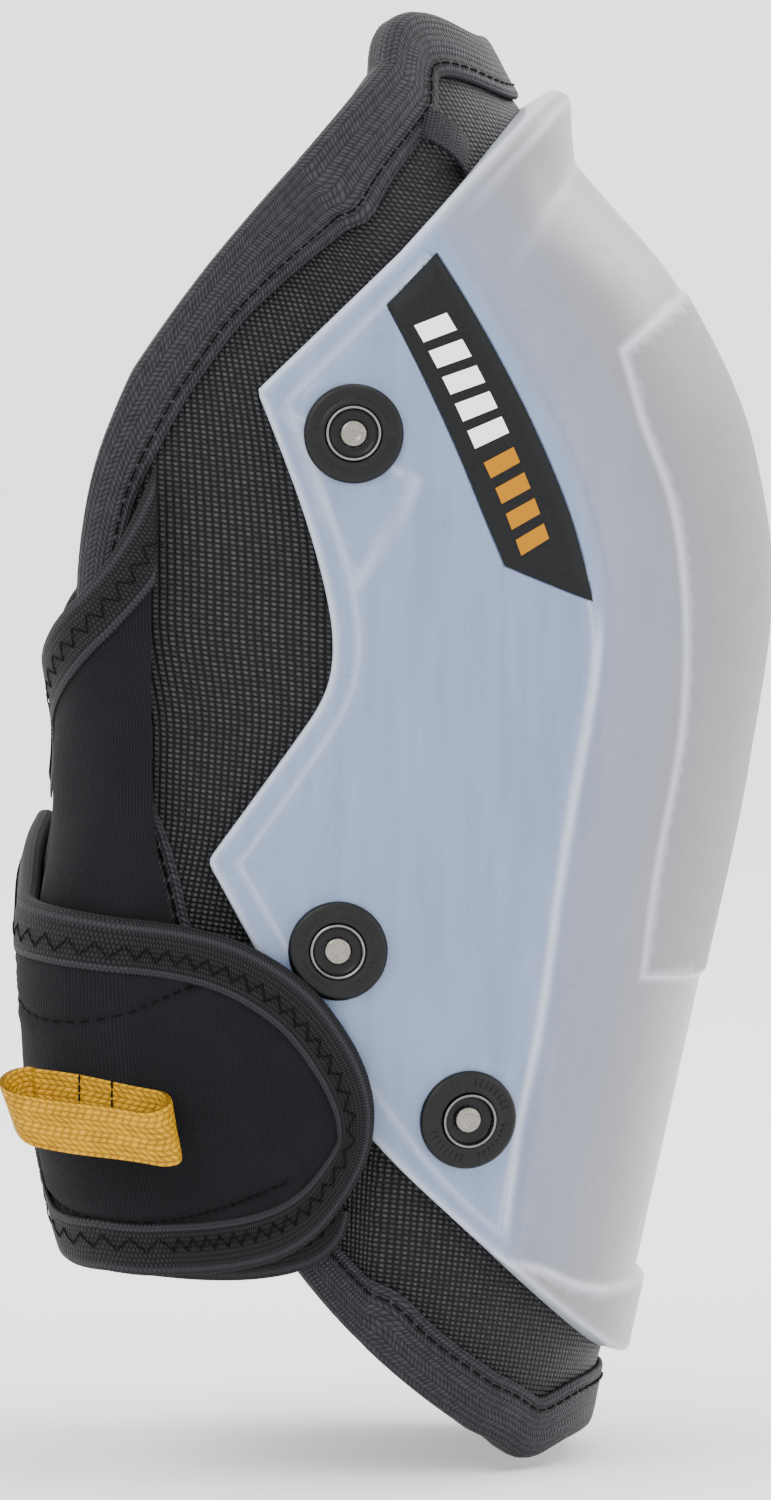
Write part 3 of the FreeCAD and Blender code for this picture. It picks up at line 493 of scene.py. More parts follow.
class Shader:
    """A node material and short ways to add nodes to it."""

    def __init__(self, name, colour, roughness, **sockets):
        self.material = bpy.data.materials.new(name)
        self.material.use_nodes = True
        self.tree = self.material.node_tree
        self.surface = self.tree.nodes["Principled BSDF"]
        self.surface.inputs["Base Color"].default_value = linear(colour)
        self.surface.inputs["Roughness"].default_value = roughness
        for key, value in sockets.items():
            self.surface.inputs[key.replace("_", " ")].default_value = value

    def node(self, kind, **settings):
        node = self.tree.nodes.new("ShaderNode" + kind)
        for key, value in settings.items():
            setattr(node, key, value)
        return node

    def join(self, source, target):
        self.tree.links.new(source, target)

    def put(self, node, index, value):
        if isinstance(value, (int, float)):
            node.inputs[index].default_value = value
        else:
            self.join(value, node.inputs[index])

    def math(self, operation, a, b=0.0):
        node = self.node("Math", operation=operation)
        self.put(node, 0, a)
        self.put(node, 1, b)
        return node.outputs[0]

    def mul(self, a, b):
        return self.math("MULTIPLY", a, b)

    def add(self, a, b):
        return self.math("ADD", a, b)

    def wave(self, value, period):
        """A row of humps between 0 and 1."""
        return self.math("ABSOLUTE", self.math("SINE", self.mul(value, math.pi / period)))

    def uv(self):
        """The two ways over the cloth in millimetres."""
        parts = self.node("SeparateXYZ")
        self.join(self.node("TexCoord").outputs["UV"], parts.inputs[0])
        return self.mul(parts.outputs[0], 100.0), self.mul(parts.outputs[1], 100.0)

    def place(self):
        return self.node("TexCoord").outputs["Object"]

    def stretched(self, times):
        """The place with its height multiplied, so that features run long or short along Z."""
        node = self.node("Mapping")
        node.inputs["Scale"].default_value = (1.0, 1.0, times)
        self.join(self.place(), node.inputs["Vector"])
        return node.outputs[0]

    def attribute(self, name):
        return self.node("Attribute", attribute_name=name).outputs["Fac"]

    def noise(self, scale, detail=3.0, roughness=0.55, where=None):
        """Noise; scale is in features per metre."""
        node = self.node("TexNoise")
        node.inputs["Scale"].default_value = scale
        node.inputs["Detail"].default_value = detail
        node.inputs["Roughness"].default_value = roughness
        self.join(where or self.place(), node.inputs["Vector"])
        return node.outputs["Fac"]

    def speckle(self, a, b):
        """A random value for each whole-number cell."""
        both = self.node("CombineXYZ")
        self.join(self.math("FLOOR", a), both.inputs[0])
        self.join(self.math("FLOOR", b), both.inputs[1])
        white = self.node("TexWhiteNoise", noise_dimensions="2D")
        self.join(both.outputs[0], white.inputs["Vector"])
        return white.outputs["Value"]

    def remap(self, value, a, b, c, d):
        node = self.node("MapRange")
        self.join(value, node.inputs["Value"])
        for key, v in zip(("From Min", "From Max", "To Min", "To Max"), (a, b, c, d)):
            node.inputs[key].default_value = v
        return node.outputs["Result"]

    def blend_colour(self, amount, a, b):
        node = self.node("Mix", data_type="RGBA")
        self.put(node, 0, amount)
        for index, value in ((6, a), (7, b)):
            if isinstance(value, str):
                node.inputs[index].default_value = linear(value)
            else:
                self.join(value, node.inputs[index])
        return node.outputs[2]

    def colour(self, value):
        self.join(value, self.surface.inputs["Base Color"])

    def rough(self, value):
        self.join(value, self.surface.inputs["Roughness"])

    def bump(self, height, distance, strength):
        """distance is the bump's height in millimetres."""
        node = self.node("Bump")
        node.inputs["Strength"].default_value = strength
        node.inputs["Distance"].default_value = distance * MM
        self.join(height, node.inputs["Height"])
        self.join(node.outputs[0], self.surface.inputs["Normal"])

    def weave(self, across, along, warp, weft):
        """(height, a random value for each yarn's float) of a plain weave; warp and weft are the
        yarn pitches in millimetres."""
        u, v = self.math("DIVIDE", across, warp), self.math("DIVIDE", along, weft)
        parity = self.math("MODULO", self.add(self.math("FLOOR", u), self.math("FLOOR", v)), 2.0)
        parity = self.math("ABSOLUTE", parity)
        fu, fv = self.math("FRACT", u), self.math("FRACT", v)
        hump_u = self.math("SINE", self.mul(fu, math.pi))
        hump_v = self.math("SINE", self.mul(fv, math.pi))
        over = self.mul(self.math("POWER", hump_u, 0.55), self.add(self.mul(hump_v, 0.6), 0.4))
        under = self.mul(self.math("POWER", hump_v, 0.55), self.add(self.mul(hump_u, 0.6), 0.4))
        pick = self.node("Mix", data_type="FLOAT")
        self.put(pick, 0, parity)
        self.put(pick, 2, over)
        self.put(pick, 3, under)
        return pick.outputs[0], self.speckle(u, v)


def frosted():
    s = Shader("frosted_shell", "9AA2AE", 0.4, Coat_Weight=0.12, Coat_Roughness=0.3,
               Subsurface_Weight=0.3, Subsurface_Scale=0.004, IOR=1.46)
    s.surface.inputs["Subsurface Radius"].default_value = (1.0, 1.0, 1.1)
    panel, edge, wear = s.attribute("panel"), s.attribute("edge"), s.attribute("wear")
    fine = s.noise(260.0, 3.0, 0.6, s.stretched(0.10))
    cloud = s.noise(28.0, 2.0, 0.5)
    body = s.blend_colour(s.remap(cloud, 0.3, 0.7, 0.0, 1.0), "6F6D71", "787579")
    side = s.blend_colour(s.remap(fine, 0.35, 0.75, 0.0, 1.0), "677793", "74839D")
    mixed = s.blend_colour(panel, body, side)
    # The edge attribute is a painted highlight: the colour lightens towards B9BEC8 along the rim,
    # creases, bead and lip.
    with_painted_highlight = s.blend_colour(s.mul(edge, 0.75), mixed, "B9BEC8")
    s.colour(with_painted_highlight)
    pebble = s.noise(1500.0, 2.0, 0.5)
    haze = s.noise(420.0, 2.0, 0.5)
    s.rough(s.add(s.mul(wear, 0.22), s.remap(haze, 0.3, 0.7, 0.27, 0.36)))
    height = s.add(s.mul(pebble, s.add(s.mul(wear, 1.0), 0.03)), s.mul(haze, 0.12))
    s.bump(height, 0.16, 0.6)
    return s.material


def ballistic():
    s = Shader("black_weave", "0C0C0D", 0.5, Specular_IOR_Level=0.18)
    across, along = s.uv()
    height, yarn = s.weave(across, s.add(along, s.mul(across, 0.12)), 1.45, 0.98)
    fibre = s.noise(5200.0, 2.0, 0.6)
    worn = s.noise(30.0, 3.0, 0.6)
    # Painted highlight and shade: lighter on the yarn crowns and darker between the yarns, times a
    # random tone for each yarn.
    tone = s.mul(s.remap(yarn, 0.0, 1.0, 0.45, 1.0), s.remap(height, 0.55, 1.0, 0.0, 1.0))
    base = s.blend_colour(tone, "010102", "38383B")
    s.colour(s.blend_colour(s.remap(worn, 0.55, 0.8, 0.0, 0.2), base, "111214"))
    s.rough(s.remap(fibre, 0.3, 0.7, 0.42, 0.66))
    s.bump(s.add(height, s.mul(fibre, 0.25)), 0.42, 0.9)
    return s.material


def webbing(name, dark, light, rib, pick, distance, contrast=1.0):
    """A heavy woven tape: ribs along its length, broken by slanting picks."""
    s = Shader(name, dark, 0.55, Specular_IOR_Level=0.16)
    along, across = s.uv()
    fold = s.math("FRACT", s.math("DIVIDE", across, rib * 4))
    fold = s.math("ABSOLUTE", s.math("SUBTRACT", fold, 0.5))
    slant = s.add(along, s.mul(fold, rib * 3.2))
    height, yarn = s.weave(slant, across, pick, rib)
    fibre = s.noise(4200.0, 2.0, 0.6)
    # Painted highlight and shade: raised yarns lighter and the gaps between them darker, plus a random
    # tone for each yarn.
    tone = s.mul(s.add(s.mul(height, 0.75), s.mul(yarn, 0.3)), contrast)
    s.colour(s.blend_colour(tone, dark, light))
    s.rough(s.remap(fibre, 0.3, 0.7, 0.45, 0.7))
    s.bump(s.add(height, s.mul(fibre, 0.2)), distance, 0.9)
    return s.material


def elastic():
    s = Shader("black_elastic", "08080A", 0.6, Sheen_Weight=0.02, Sheen_Roughness=0.5,
               Specular_IOR_Level=0.1)
    along, across = s.uv()
    row = s.math("FLOOR", s.math("DIVIDE", across, 0.95))
    rib = s.math("POWER", s.wave(across, 0.95), 0.6)
    step = s.add(along, s.mul(row, 0.35))
    pick = s.wave(step, 0.75)
    height = s.add(s.mul(rib, 0.4), s.mul(pick, 0.6))
    near_edge, near_fold = (s.math("LESS_THAN", s.math("ABSOLUTE", s.math("SUBTRACT", across, at)), half)
                            for at, half in ((1.1, 0.5), (9.0, 0.6)))
    edging = s.add(near_edge, near_fold)
    height = s.add(height, s.mul(edging, 0.5))
    fibre = s.noise(3800.0, 2.0, 0.6)
    # Painted highlight and shade: the colour follows the height, lighter on raised ribs, picks and the
    # two edge rows, darker in the gaps.
    s.colour(s.blend_colour(s.remap(height, 0.4, 1.4, 0.0, 1.0), "020203", "2A2A2D"))
    s.rough(s.remap(fibre, 0.3, 0.7, 0.55, 0.8))
    s.bump(s.add(height, s.mul(fibre, 0.2)), 0.3, 0.85)
    return s.material


def neoprene():
    s = Shader("neoprene", "0D0D10", 0.85, Sheen_Weight=0.02, Sheen_Roughness=0.5,
               Specular_IOR_Level=0.06)
    across, along = s.uv()
    wale = s.wave(across, 0.62)
    loops = s.wave(s.add(along, s.mul(wale, 0.25)), 0.5)
    height = s.add(s.mul(wale, 0.7), s.mul(loops, 0.3))
    soft = s.noise(55.0, 3.0, 0.6)
    fluff = s.noise(2400.0, 3.0, 0.7)
    # Painted highlight and shade: the knit's raised wales and loops lighter, the gaps between them
    # darker.
    base = s.blend_colour(s.remap(height, 0.1, 1.0, 0.0, 1.0), "0B0B0D", "18181B")
    s.colour(s.blend_colour(s.remap(soft, 0.45, 0.75, 0.0, 0.3), base, "1D1D20"))
    s.rough(s.remap(fluff, 0.3, 0.7, 0.78, 0.95))
    s.bump(s.add(height, s.mul(fluff, 0.5)), 0.2, 0.8)
    return s.material


def knit_lining():
    s = Shader("lining", "141518", 0.9, Sheen_Weight=0.08, Sheen_Roughness=0.5,
               Specular_IOR_Level=0.06)
    loops = s.node("TexVoronoi", feature="SMOOTH_F1")
    loops.inputs["Scale"].default_value = 620.0
    s.join(s.place(), loops.inputs["Vector"])
    fluff = s.noise(1600.0, 4.0, 0.7)
    soft = s.noise(45.0, 3.0, 0.6)
    gaps = loops.outputs["Distance"]
    # Painted shade: darker in the gaps between the knit's loops.
    base = s.blend_colour(s.remap(gaps, 0.1, 0.7, 0.0, 1.0), "131417", "040505")
    s.colour(s.blend_colour(s.remap(soft, 0.4, 0.75, 0.0, 0.4), base, "15161A"))
    s.rough(s.remap(fluff, 0.3, 0.7, 0.8, 0.96))
    s.bump(s.math("SUBTRACT", s.mul(fluff, 0.5), gaps), 0.35, 0.8)
    return s.material


def fuzzy(name, dark, light, scale):
    s = Shader(name, dark, 0.95, Sheen_Weight=0.03, Sheen_Roughness=0.6, Specular_IOR_Level=0.08)
    fluff = s.noise(scale, 5.0, 0.75)
    s.colour(s.blend_colour(s.remap(fluff, 0.35, 0.7, 0.0, 1.0), dark, light))
    s.bump(fluff, 0.5, 0.9)
    return s.material


def grained(s, scale, tone, rough, relief, strength, where=None):
    """A fine grain in a material: tone is (low, high, dark, light), and rough the two limits."""
    grain = s.noise(scale, 3.0, 0.6, where)
    if tone:
        low, high, dark, light = tone
        s.colour(s.blend_colour(s.remap(grain, low, high, 0.0, 1.0), dark, light))
    s.rough(s.remap(grain, 0.3, 0.7, *rough))
    s.bump(grain, relief, strength)
    return s.material


def plastic(name, dark, light, roughness, shine=0.12):
    s = Shader(name, dark, roughness, Specular_IOR_Level=shine)
    limits = roughness - 0.07, roughness + 0.1
    return grained(s, 900.0, (0.4, 0.7, dark, light), limits, 0.05, 0.5)


def metal(name, dark, light, roughness):
    s = Shader(name, light, roughness, Metallic=1.0)
    limits = roughness - 0.06, roughness + 0.12
    return grained(s, 1400.0, (0.3, 0.7, dark, light), limits, 0.02, 0.4, s.stretched(9.0))


def inlay():
    s = Shader("charcoal_inlay", "0F1012", 0.5, Specular_IOR_Level=0.14)
    return grained(s, 1300.0, (0.35, 0.7, "0C0D0E", "141517"), (0.42, 0.58), 0.06, 0.6)


def printed(name, colour):
    s = Shader(name, colour, 0.45, Specular_IOR_Level=0.12)
    return grained(s, 1500.0, None, (0.36, 0.56), 0.04, 0.5)


def floor_paint():
    s = Shader("studio_floor", "F2F2F3", 0.75, Emission_Color=(1, 1, 1, 1), Emission_Strength=0.12)
    grain = s.noise(6.0, 2.0, 0.5)
    s.colour(s.blend_colour(grain, "F0F0F1", "F5F5F6"))
    return s.material


SHELL, COVER, NEOPRENE, ELASTIC = frosted(), ballistic(), neoprene(), elastic()
LINING = knit_lining()
TRIM = webbing("black_webbing", "010102", "2F2F33", 1.15, 1.2, 0.5, 1.1)
RIBBED = webbing("black_ribbed_tape", "030304", "222327", 0.7, 0.9, 0.35)
YELLOW = webbing("yellow_webbing", "6C4400", "BC8A00", 1.0, 1.5, 0.45, 1.1)
PILE_CLOTH = fuzzy("pile", "060607", "16171A", 1500.0)
HOOKS = fuzzy("hook", "08080A", "1A1B1E", 2600.0)
WASHER = plastic("black_washer", "040405", "0A0B0C", 0.36, 0.22)
CLEAR = plastic("clear_washer", "C9CBCD", "D9DADC", 0.5)
NICKEL = metal("nickel", "5A5957", "7E7D7A", 0.28)
BRIGHT = metal("bright_steel", "66635E", "918D86", 0.24)
INLAY = inlay()
WHITE_PRINT, AMBER_PRINT = printed("white_print", "E9E9EA"), printed("amber_print", "9C6600")
BLACK_THREAD = plastic("black_thread", "050506", "0E0F10", 0.7, 0.06)


def wear_it(obj, material, body):
    """Gives a piece its material and the body it rides."""
    obj.data.materials.clear()
    obj.data.materials.append(material)
    if body:
        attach(obj, body)
    return obj


# ---- the shell ---------------------------------------------------------------------------------
SHELL_THICK = 3.0
BROW_SLOPE = (107.7 - 76.6) / (31.2 - 2.7)
SHELL_REAR = [
    [(21.5, -114.9), (8.4, -102.8), (-4.4, -89.5), (-21.9, -60.5), (-32.8, -40.2)],
    [(-32.8, -40.2), (-33.3, -38.7), (-32.6, -37.2)],
    [(-32.6, -37.2), (-16.2, -14.6), (-11.2, -6), (-10, 3.3), (-11.4, 12.8), (-23.8, 49.4)],
    [(-23.8, 49.4), (-24, 50.8), (-23, 51.8)],
    [(-23, 51.8), (2.7, 76.6)],
]
WEAR_REAR = [(44.4, 57.8), (46.6, 50), (48.8, 42.6), (52.9, 32), (55.8, 17), (56.6, 0),
             (55.4, -18), (51.9, -36.8), (48.5, -62.4)]
PANEL = [
    [(8.2, 75.8), (14.6, 65), (20.7, 54), (26.4, 42.8), (31.4, 31), (36, 18.9), (39.4, 7), (39.2, -2.5),
     (37.4, -14), (33.6, -36), (31.4, -52.2), (28.4, -72.5), (25, -89.5), (21.6, -110.4)],
    [(21.6, -110.4), (10.9, -99.8), (0.9, -87), (-16, -60), (-28, -39.2)],
    [(-28, -39.2), (-12.4, -17), (-6.6, -6), (-5.4, 4), (-6.8, 14), (-18.8, 48.6)],
    [(-18.8, 48.6), (8.2, 75.8)],
]
RIDGE = [(12.2, 79.8), (20.8, 65.2), (28, 52.4), (34.4, 39.7), (38.4, 28.5), (41, 18.9),
         (42.4, 9.4), (41.9, -2.5), (40.2, -14), (36.3, -36.1), (34, -52.2), (31, -72.5),
         (27.5, -89.5), (24.6, -112.4)]
LABEL = [
    [(9.7, 76.4), (15.6, 67), (21.6, 56.4), (27.2, 45.4), (32, 34.6), (36, 23.6), (39.3, 10.6)],
    [(39.3, 10.6), (22.6, 17.4)],
    [(22.6, 17.4), (18.6, 27), (14.8, 36.4), (10.3, 46.6), (4.8, 58), (0.3, 66.6)],
    [(0.3, 66.6), (9.7, 76.4)],
]
LOWER_LIP = [(21.5, -114.9), (30, -117.2), (37, -121), (48, -122.4)]
EAR = [(-18.8, 46.8), (-6.0, 12.4), (5.9, 33.6)]
SNAPS = [(-6, 42.3), (-9, -55.5), (15.4, -87.7)]
LIP_HEIGHT, LIP_SPAN = 6.0, 72.0
PRINT, BAR_PITCH = (-0.62, -0.42), 4.9


def traced(runs):
    """A closed outline as (g, z) from side-view runs."""
    return closed(chain(*[on_side(spline(r)) for r in runs]))


def to_front(point, slope, low, high):
    """The line where a side-view line runs on round the front, from a side point to the middle."""
    start = float(way_round(*point))
    g = np.linspace(start, 0, int(start / 1.4))
    return np.stack([g, on_line(g, point[0], point[1], slope, low, high)], -1)


def even(line, step=1.2):
    """A line with points at even spacing."""
    at = arc_lengths(line, False)
    t = np.linspace(0, at[-1], max(2, int(at[-1] / step) + 1))
    return np.stack([np.interp(t, at, line[:, 0]), np.interp(t, at, line[:, 1])], -1)


shell_bottom = to_front((21.5, -114.9), -46.9 / 48.5, -170, -90)
shell_top = to_front((2.7, 76.6), BROW_SLOPE, 60, 125)
shell_half = chain(shell_bottom[::-1], *[on_side(spline(r)) for r in SHELL_REAR], shell_top)
shell_outline = both_sides(shell_half)
wear_top = to_front((44.4, 57.8), 0.79, 40, 100)
wear_bottom = to_front((48.5, -62.4), -0.15, -90, -40)
wear_half = chain(wear_bottom[::-1], on_side(spline(WEAR_REAR[::-1])), wear_top)
wear_outline = both_sides(wear_half)
panel_outline, label_outline = traced(PANEL), traced(LABEL)
ridge_line = on_side(spline(RIDGE))
lower_curve = on_side(spline(LOWER_LIP))
lower_level = np.stack([np.linspace(lower_curve[-1][0], 0, 30), np.full(30, LOWER_LIP[-1][1])], -1)
lower_line = even(chain(lower_curve, lower_level))
brow_edge = np.concatenate([shell_top * [-1, 1], shell_top[::-1]])


def shell_relief(flat):
    """The height of the shell's outer face over the ring at each (g, z), and its material's
    numbers: the painted highlight along the rim, creases, bead and lip (the edge attribute),
    how much side panel and how much wear pad there is."""
    p = np.stack([np.abs(flat[:, 0]), flat[:, 1]], -1)
    edge = distance(flat, shell_outline)
    in_panel, in_wear = within(p, panel_outline), within(flat, wear_outline)
    ridge = distance(p, ridge_line, False)
    ridge_g = np.interp(p[:, 1], ridge_line[::-1, 1], ridge_line[::-1, 0])
    behind = p[:, 0] > ridge_g
    ridge_way = np.where(behind, ridge, -ridge)
    height = np.where(behind, -0.85 + 0.85 * ramp(in_panel, -0.9, 0.7), 0.0)
    height -= 1.1 * bell(ridge_way, 0.3, 0.7)
    bead = bell(ridge_way, 2.6, 0.8) * ramp(-p[:, 1], -14, 0) * ramp(p[:, 1], -114, -108)
    height += 0.55 * bead
    height += 0.35 * bell(ridge_way, -1.4, 0.9)
    height += 0.9 * ramp(in_wear, -0.2, 0.9)
    ear = within(p, on_side(EAR))
    height -= 0.35 * ramp(ear, -0.5, 1.0)
    low = distance(p, lower_line, False)
    curve_z = np.interp(p[:, 0], lower_line[::-1, 0], lower_line[::-1, 1])
    under = np.where(p[:, 1] < curve_z, 1.0, -1.0) * low
    band = np.maximum(height, 0.0) * (1 - ramp(under, -1, 0.6)) + 2.1 * ramp(under, -0.6, 1.2)
    height = np.where(under > -1.0, band, height)
    top = distance(flat, brow_edge, False)
    share = np.clip(1 - (p[:, 0] / LIP_SPAN) ** 3.2, 0, 1)
    wedge = np.clip((12.0 - top) / 8.6, 0, 1)
    wedge = wedge * (1 - 0.25 * (1 - ramp(top, 0.0, 2.2)))
    height = np.maximum(height, LIP_HEIGHT * share * wedge)
    for x, z in SNAPS:
        seat = np.hypot(p[:, 0] - way_round(x, z), p[:, 1] - z)
        level = height + (0.35 - height) * (1 - ramp(seat, 10.2, 11.4))
        height = np.where(seat < 12, level, height)
        height = np.where(seat < 9.6, 0.4, height)
    root = bell(top, 12.0, 0.8) * share
    tip = bell(top, 3.2, 0.7) * share
    label = within(p, label_outline)
    height = np.where(label > -0.2, height - 1.3 * ramp(label, -0.2, 0.5), height)
    round_off = np.clip(1 - edge / 1.3, 0, 1)
    height -= 0.9 * (1 - np.sqrt(np.maximum(1 - round_off**2, 0)))
    # Painted highlight along the rim, the panel's edge, the bead, the lip's tip and root, the lower lip,
    # the wear pad's edge and the ear.
    bright = bell(edge, 0, 1.0)
    for other in (0.5 * bell(in_panel, 0.2, 0.6) * (ridge > 3), 0.9 * bead,
                  0.7 * np.clip(tip, 0, 1), 0.35 * np.clip(root, 0, 1), 0.8 * bell(under, 0.6, 0.9),
                  0.9 * bell(in_wear, 0.4, 0.7), 0.5 * bell(ear, 0.2, 0.8)):
        bright = np.maximum(bright, other)
    panel = np.maximum(ramp(ridge_way, -0.5, 1.5), 0.55 * ramp(ridge_way, -36, 0))
    panel = panel * (1 - ramp(under, -0.5, 0.5))
    return height, {"edge": bright, "panel": panel, "wear": ramp(in_wear, 0.2, 1.5)}


def mirrored_pair(line):
    return [line, line * [-1, 1]]


def looped(outline):
    """An outline with its first point again at the end."""
    return np.concatenate([outline, outline[:1]])


def make_shell():
    features = []
    for line in (ridge_line, lower_line, looped(panel_outline), looped(label_outline)):
        features += mirrored_pair(line)
    features.append(looped(wear_outline))
    for amount in (3.4, 12.0):
        line = shifted(brow_edge, amount, False)
        if not inside(line[len(line) // 2:][:1], shell_outline)[0]:
            line = shifted(brow_edge, -amount, False)
        features.append(line[np.abs(line[:, 0]) < 70])
    for x, z in SNAPS:
        turn = np.linspace(0, 2 * math.pi, 49)
        circle = np.stack([way_round(x, z) + 10 * np.cos(turn), z + 10 * np.sin(turn)], -1)
        features += mirrored_pair(circle)
    filled = fill(shell_outline, 2.0, features, (0.3, 0.7, 1.2, 2.0))
    height, scalars = shell_relief(filled[0])
    shell = plate("shell_moulding", filled, -height, SHELL_THICK, 50, scalars)
    wear_it(shell, SHELL, "pad")
    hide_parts("outer_shell")


def make_bar(pile, centre, side, start, end, reach, slant):
    """One slanted bar of the label, printed across the centre line between two ways along it."""
    length = arc_lengths(centre, False)
    across = shifted(centre, 1.0, False) - centre

    def corner(way, at):
        g, z = np.interp(at, length, centre[:, 0]), np.interp(at, length, centre[:, 1])
        ag, az = np.interp(at, length, across[:, 0]), np.interp(at, length, across[:, 1])
        return np.array([side * (g + ag * way), z + az * way])

    low = corner(-reach, start), corner(-reach, end)
    high = corner(reach, start + slant), corner(reach, end + slant)
    steps, vertices = 5, []
    for i in range(steps + 1):
        a, b = (p + (q - p) * (i / steps) for p, q in (low, high))
        vertices += [at_depth(*a, PRINT[0]), at_depth(*b, PRINT[0]), at_depth(*b, PRINT[1]),
                     at_depth(*a, PRINT[1])]
    pile.add(vertices, quads(steps + 1, 4))


def make_labels():
    """Charcoal inlays with generic slanted stripes, white above and amber below."""
    centre = [(5.0, 69.5), (12.4, 57), (18.6, 44.6), (24.0, 32.4), (28.6, 20.0)]
    centre = on_side(spline(centre, 0.5))
    for name, side in (("near", -1), ("far", 1)):
        outline = label_outline * [side, 1]
        filled = fill(outline, 1.6, (), (0.4, 0.9, 1.6))
        edge = distance(filled[0], outline)
        bevel = 0.55 * (1 - ramp(edge, 0.0, 1.8))
        lift = 0.35 * bell(edge, 2.6, 0.5)
        obj = plate("label_%s" % name, filled, -0.45 + bevel - lift, 0.9, 50)
        wear_it(obj, INLAY, "pad")
        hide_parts("label_inlay_%s" % name)
        for kind, material, count, start, width, reach, slant in (
                ("white", WHITE_PRINT, 5, 4.6, 3.2, 3.6, 2.2),
                ("amber", AMBER_PRINT, 4, 30.2, 3.0, 3.2, 2.0)):
            pile = Pile()
            for k in range(count):
                at = start + BAR_PITCH * k
                make_bar(pile, centre, side, at, at + width, reach, slant)
            stripes = pile.make("label_stripes_%s_%s" % (kind, name), 30)
            wear_it(stripes, material, "pad")


# ---- snap fasteners ----------------------------------------------------------------------------
SNAP_CAP = [(4.9, 0.4), (9.3, 0.4), (9.45, 0.7), (9.4, 1.3), (9.1, 1.75), (8.6, 1.98), (7.9, 2.0),
            (7.0, 1.9), (6.4, 1.95), (6.1, 2.12), (5.6, 2.1), (5.1, 1.8), (4.9, 1.4)]
SNAP_RECESS = [(2.75, -0.4), (4.56, -0.4), (4.56, 1.1), (4.3, 0.8), (3.6, 0.62), (2.75, 0.58)]
SNAP_RING = [(4.55, -2.6), (4.95, -2.6), (5.0, 1.9), (5.2, 2.25), (5.15, 2.5), (4.95, 2.62),
             (4.75, 2.5), (4.65, 2.2), (4.58, 1.4)]
SNAP_POST = [(0.01, -2.9), (2.7, -2.9), (2.7, -1.6), (2.25, -1.1), (2.35, -0.6), (2.68, -0.2),
             (2.7, 1.0), (2.5, 1.5), (2.1, 1.72), (1.5, 1.75), (1.3, 1.62), (0.8, 1.56), (0.01, 1.55)]
BOX_FACES = [(0, 1, 2, 3), (7, 6, 5, 4), (0, 4, 5, 1), (1, 5, 6, 2), (2, 6, 7, 3), (3, 7, 4, 0)]


def make_snaps():
    """Six snap fasteners, each with a ring of raised dashes in four groups on its cap."""
    washers, rings, posts, wires = Pile(), Pile(), Pile(), Pile()
    wire = [(3.62 + 0.42 * math.cos(t), -1.9 + 0.42 * math.sin(t))
            for t in np.linspace(0, 2 * math.pi, 13)[:-1]]
    for side in (-1, 1):
        for x, z in SNAPS:
            place = side * float(way_round(x, z)), z
            point, normal = ring(*place), ring_normal(*place)
            for pile, profile, count in ((washers, SNAP_CAP, 96), (rings, SNAP_RING, 72),
                                         (posts, SNAP_POST, 48), (washers, SNAP_RECESS, 48)):
                vertices, faces = turned(profile, count)
                pile.add(placed(vertices, point, normal), faces)
            for k in range(40):
                if k % 10 in (0, 9):
                    continue
                a = 2 * math.pi * k / 40 + 0.16
                radial = np.array([math.cos(a), math.sin(a), 0])
                tangent = np.array([-math.sin(a), math.cos(a), 0])
                cube = []
                for h in (1.8, 2.12):
                    for r, t in ((6.75, -0.2), (6.75, 0.2), (8.25, 0.22), (8.25, -0.22)):
                        cube.append(radial * r + tangent * t + np.array([0, 0, h]))
                washers.add(placed(cube, point, normal), BOX_FACES)
            vertices, faces = turned(wire, 60)
            wires.add(placed(vertices, point, normal), faces)
    for pile, name, material, node, slot in (
            (washers, "snap_caps", WASHER, "snap_washers", "black_washer"),
            (rings, "snap_rings", NICKEL, "snap_sockets", "nickel"),
            (posts, "snap_posts", BRIGHT, "snap_studs", "bright_steel"),
            (wires, "snap_wires", NICKEL, "snap_springs", "nickel")):
        obj = wear_it(pile.make(name, 40), material, "pad")
        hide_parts(node)


# ---- the soft pad ------------------------------------------------------------------------------
FABRIC = (3.1, 4.3)


def pad_half():
    """Half of the pad's edge, from the bottom's middle round one side to the top's middle."""
    rear = on_side(spline([(18, -150.3), (-2.8, -134.1), (-17.1, -117.2), (-31, -94), (-43, -66),
                           (-52, -40), (-58.6, -14), (-61, 8), (-60.4, 20), (-56.3, 38), (-45.5, 58),
                           (-21.8, 88.6), (1.8, 113.8)], 1.6))
    low, high = rear[0], rear[-1]
    bottom = spline([(0, -153.6), (16, -153.8), (32, -155.0), (48, -156.6),
                     (low[0] - 10, low[1] - 3.4), tuple(low)], 1.6)
    top = spline([tuple(high), (high[0] - 9, 121.6), (high[0] - 22, 123.0), (20, 119.8),
                  (0, 119.0)], 1.6)
    return chain(bottom, rear, top)


pad_outline = both_sides(pad_half())


def inset(outline, amount):
    """An outline moved inwards; it is tidied where it would cross itself."""
    moved = shifted(outline, inward_side(outline) * amount)
    return moved[inside(moved, outline) & (distance(moved, outline) > amount * 0.93)]


def foam_depth(way):
    """Depth of the foam's leg side, a way in from the pad's edge."""
    u = np.clip((np.asarray(way, float) + 12.0) / 36.0, 0, 1)
    return 5.8 + 6.2 * u * u * (3 - 2 * u)


def make_cover():
    outline = inset(pad_outline, 1.3)
    filled = fill(outline, 3.0, (), (1.0, 3.0))
    flat = filled[0]
    puff = 0.25 * np.sin(flat[:, 0] / 7.3) * np.sin(flat[:, 1] / 9.1)
    edge = distance(flat, outline)
    sink = 0.35 * (1 - ramp(edge, 9, 16))
    outer = FABRIC[0] + np.clip(puff, -0.2, 0.2) + sink
    cover = plate("woven_cover", filled, outer, FABRIC[1] + sink, 60)
    wear_it(cover, COVER, "pad")
    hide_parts("fabric_cover")


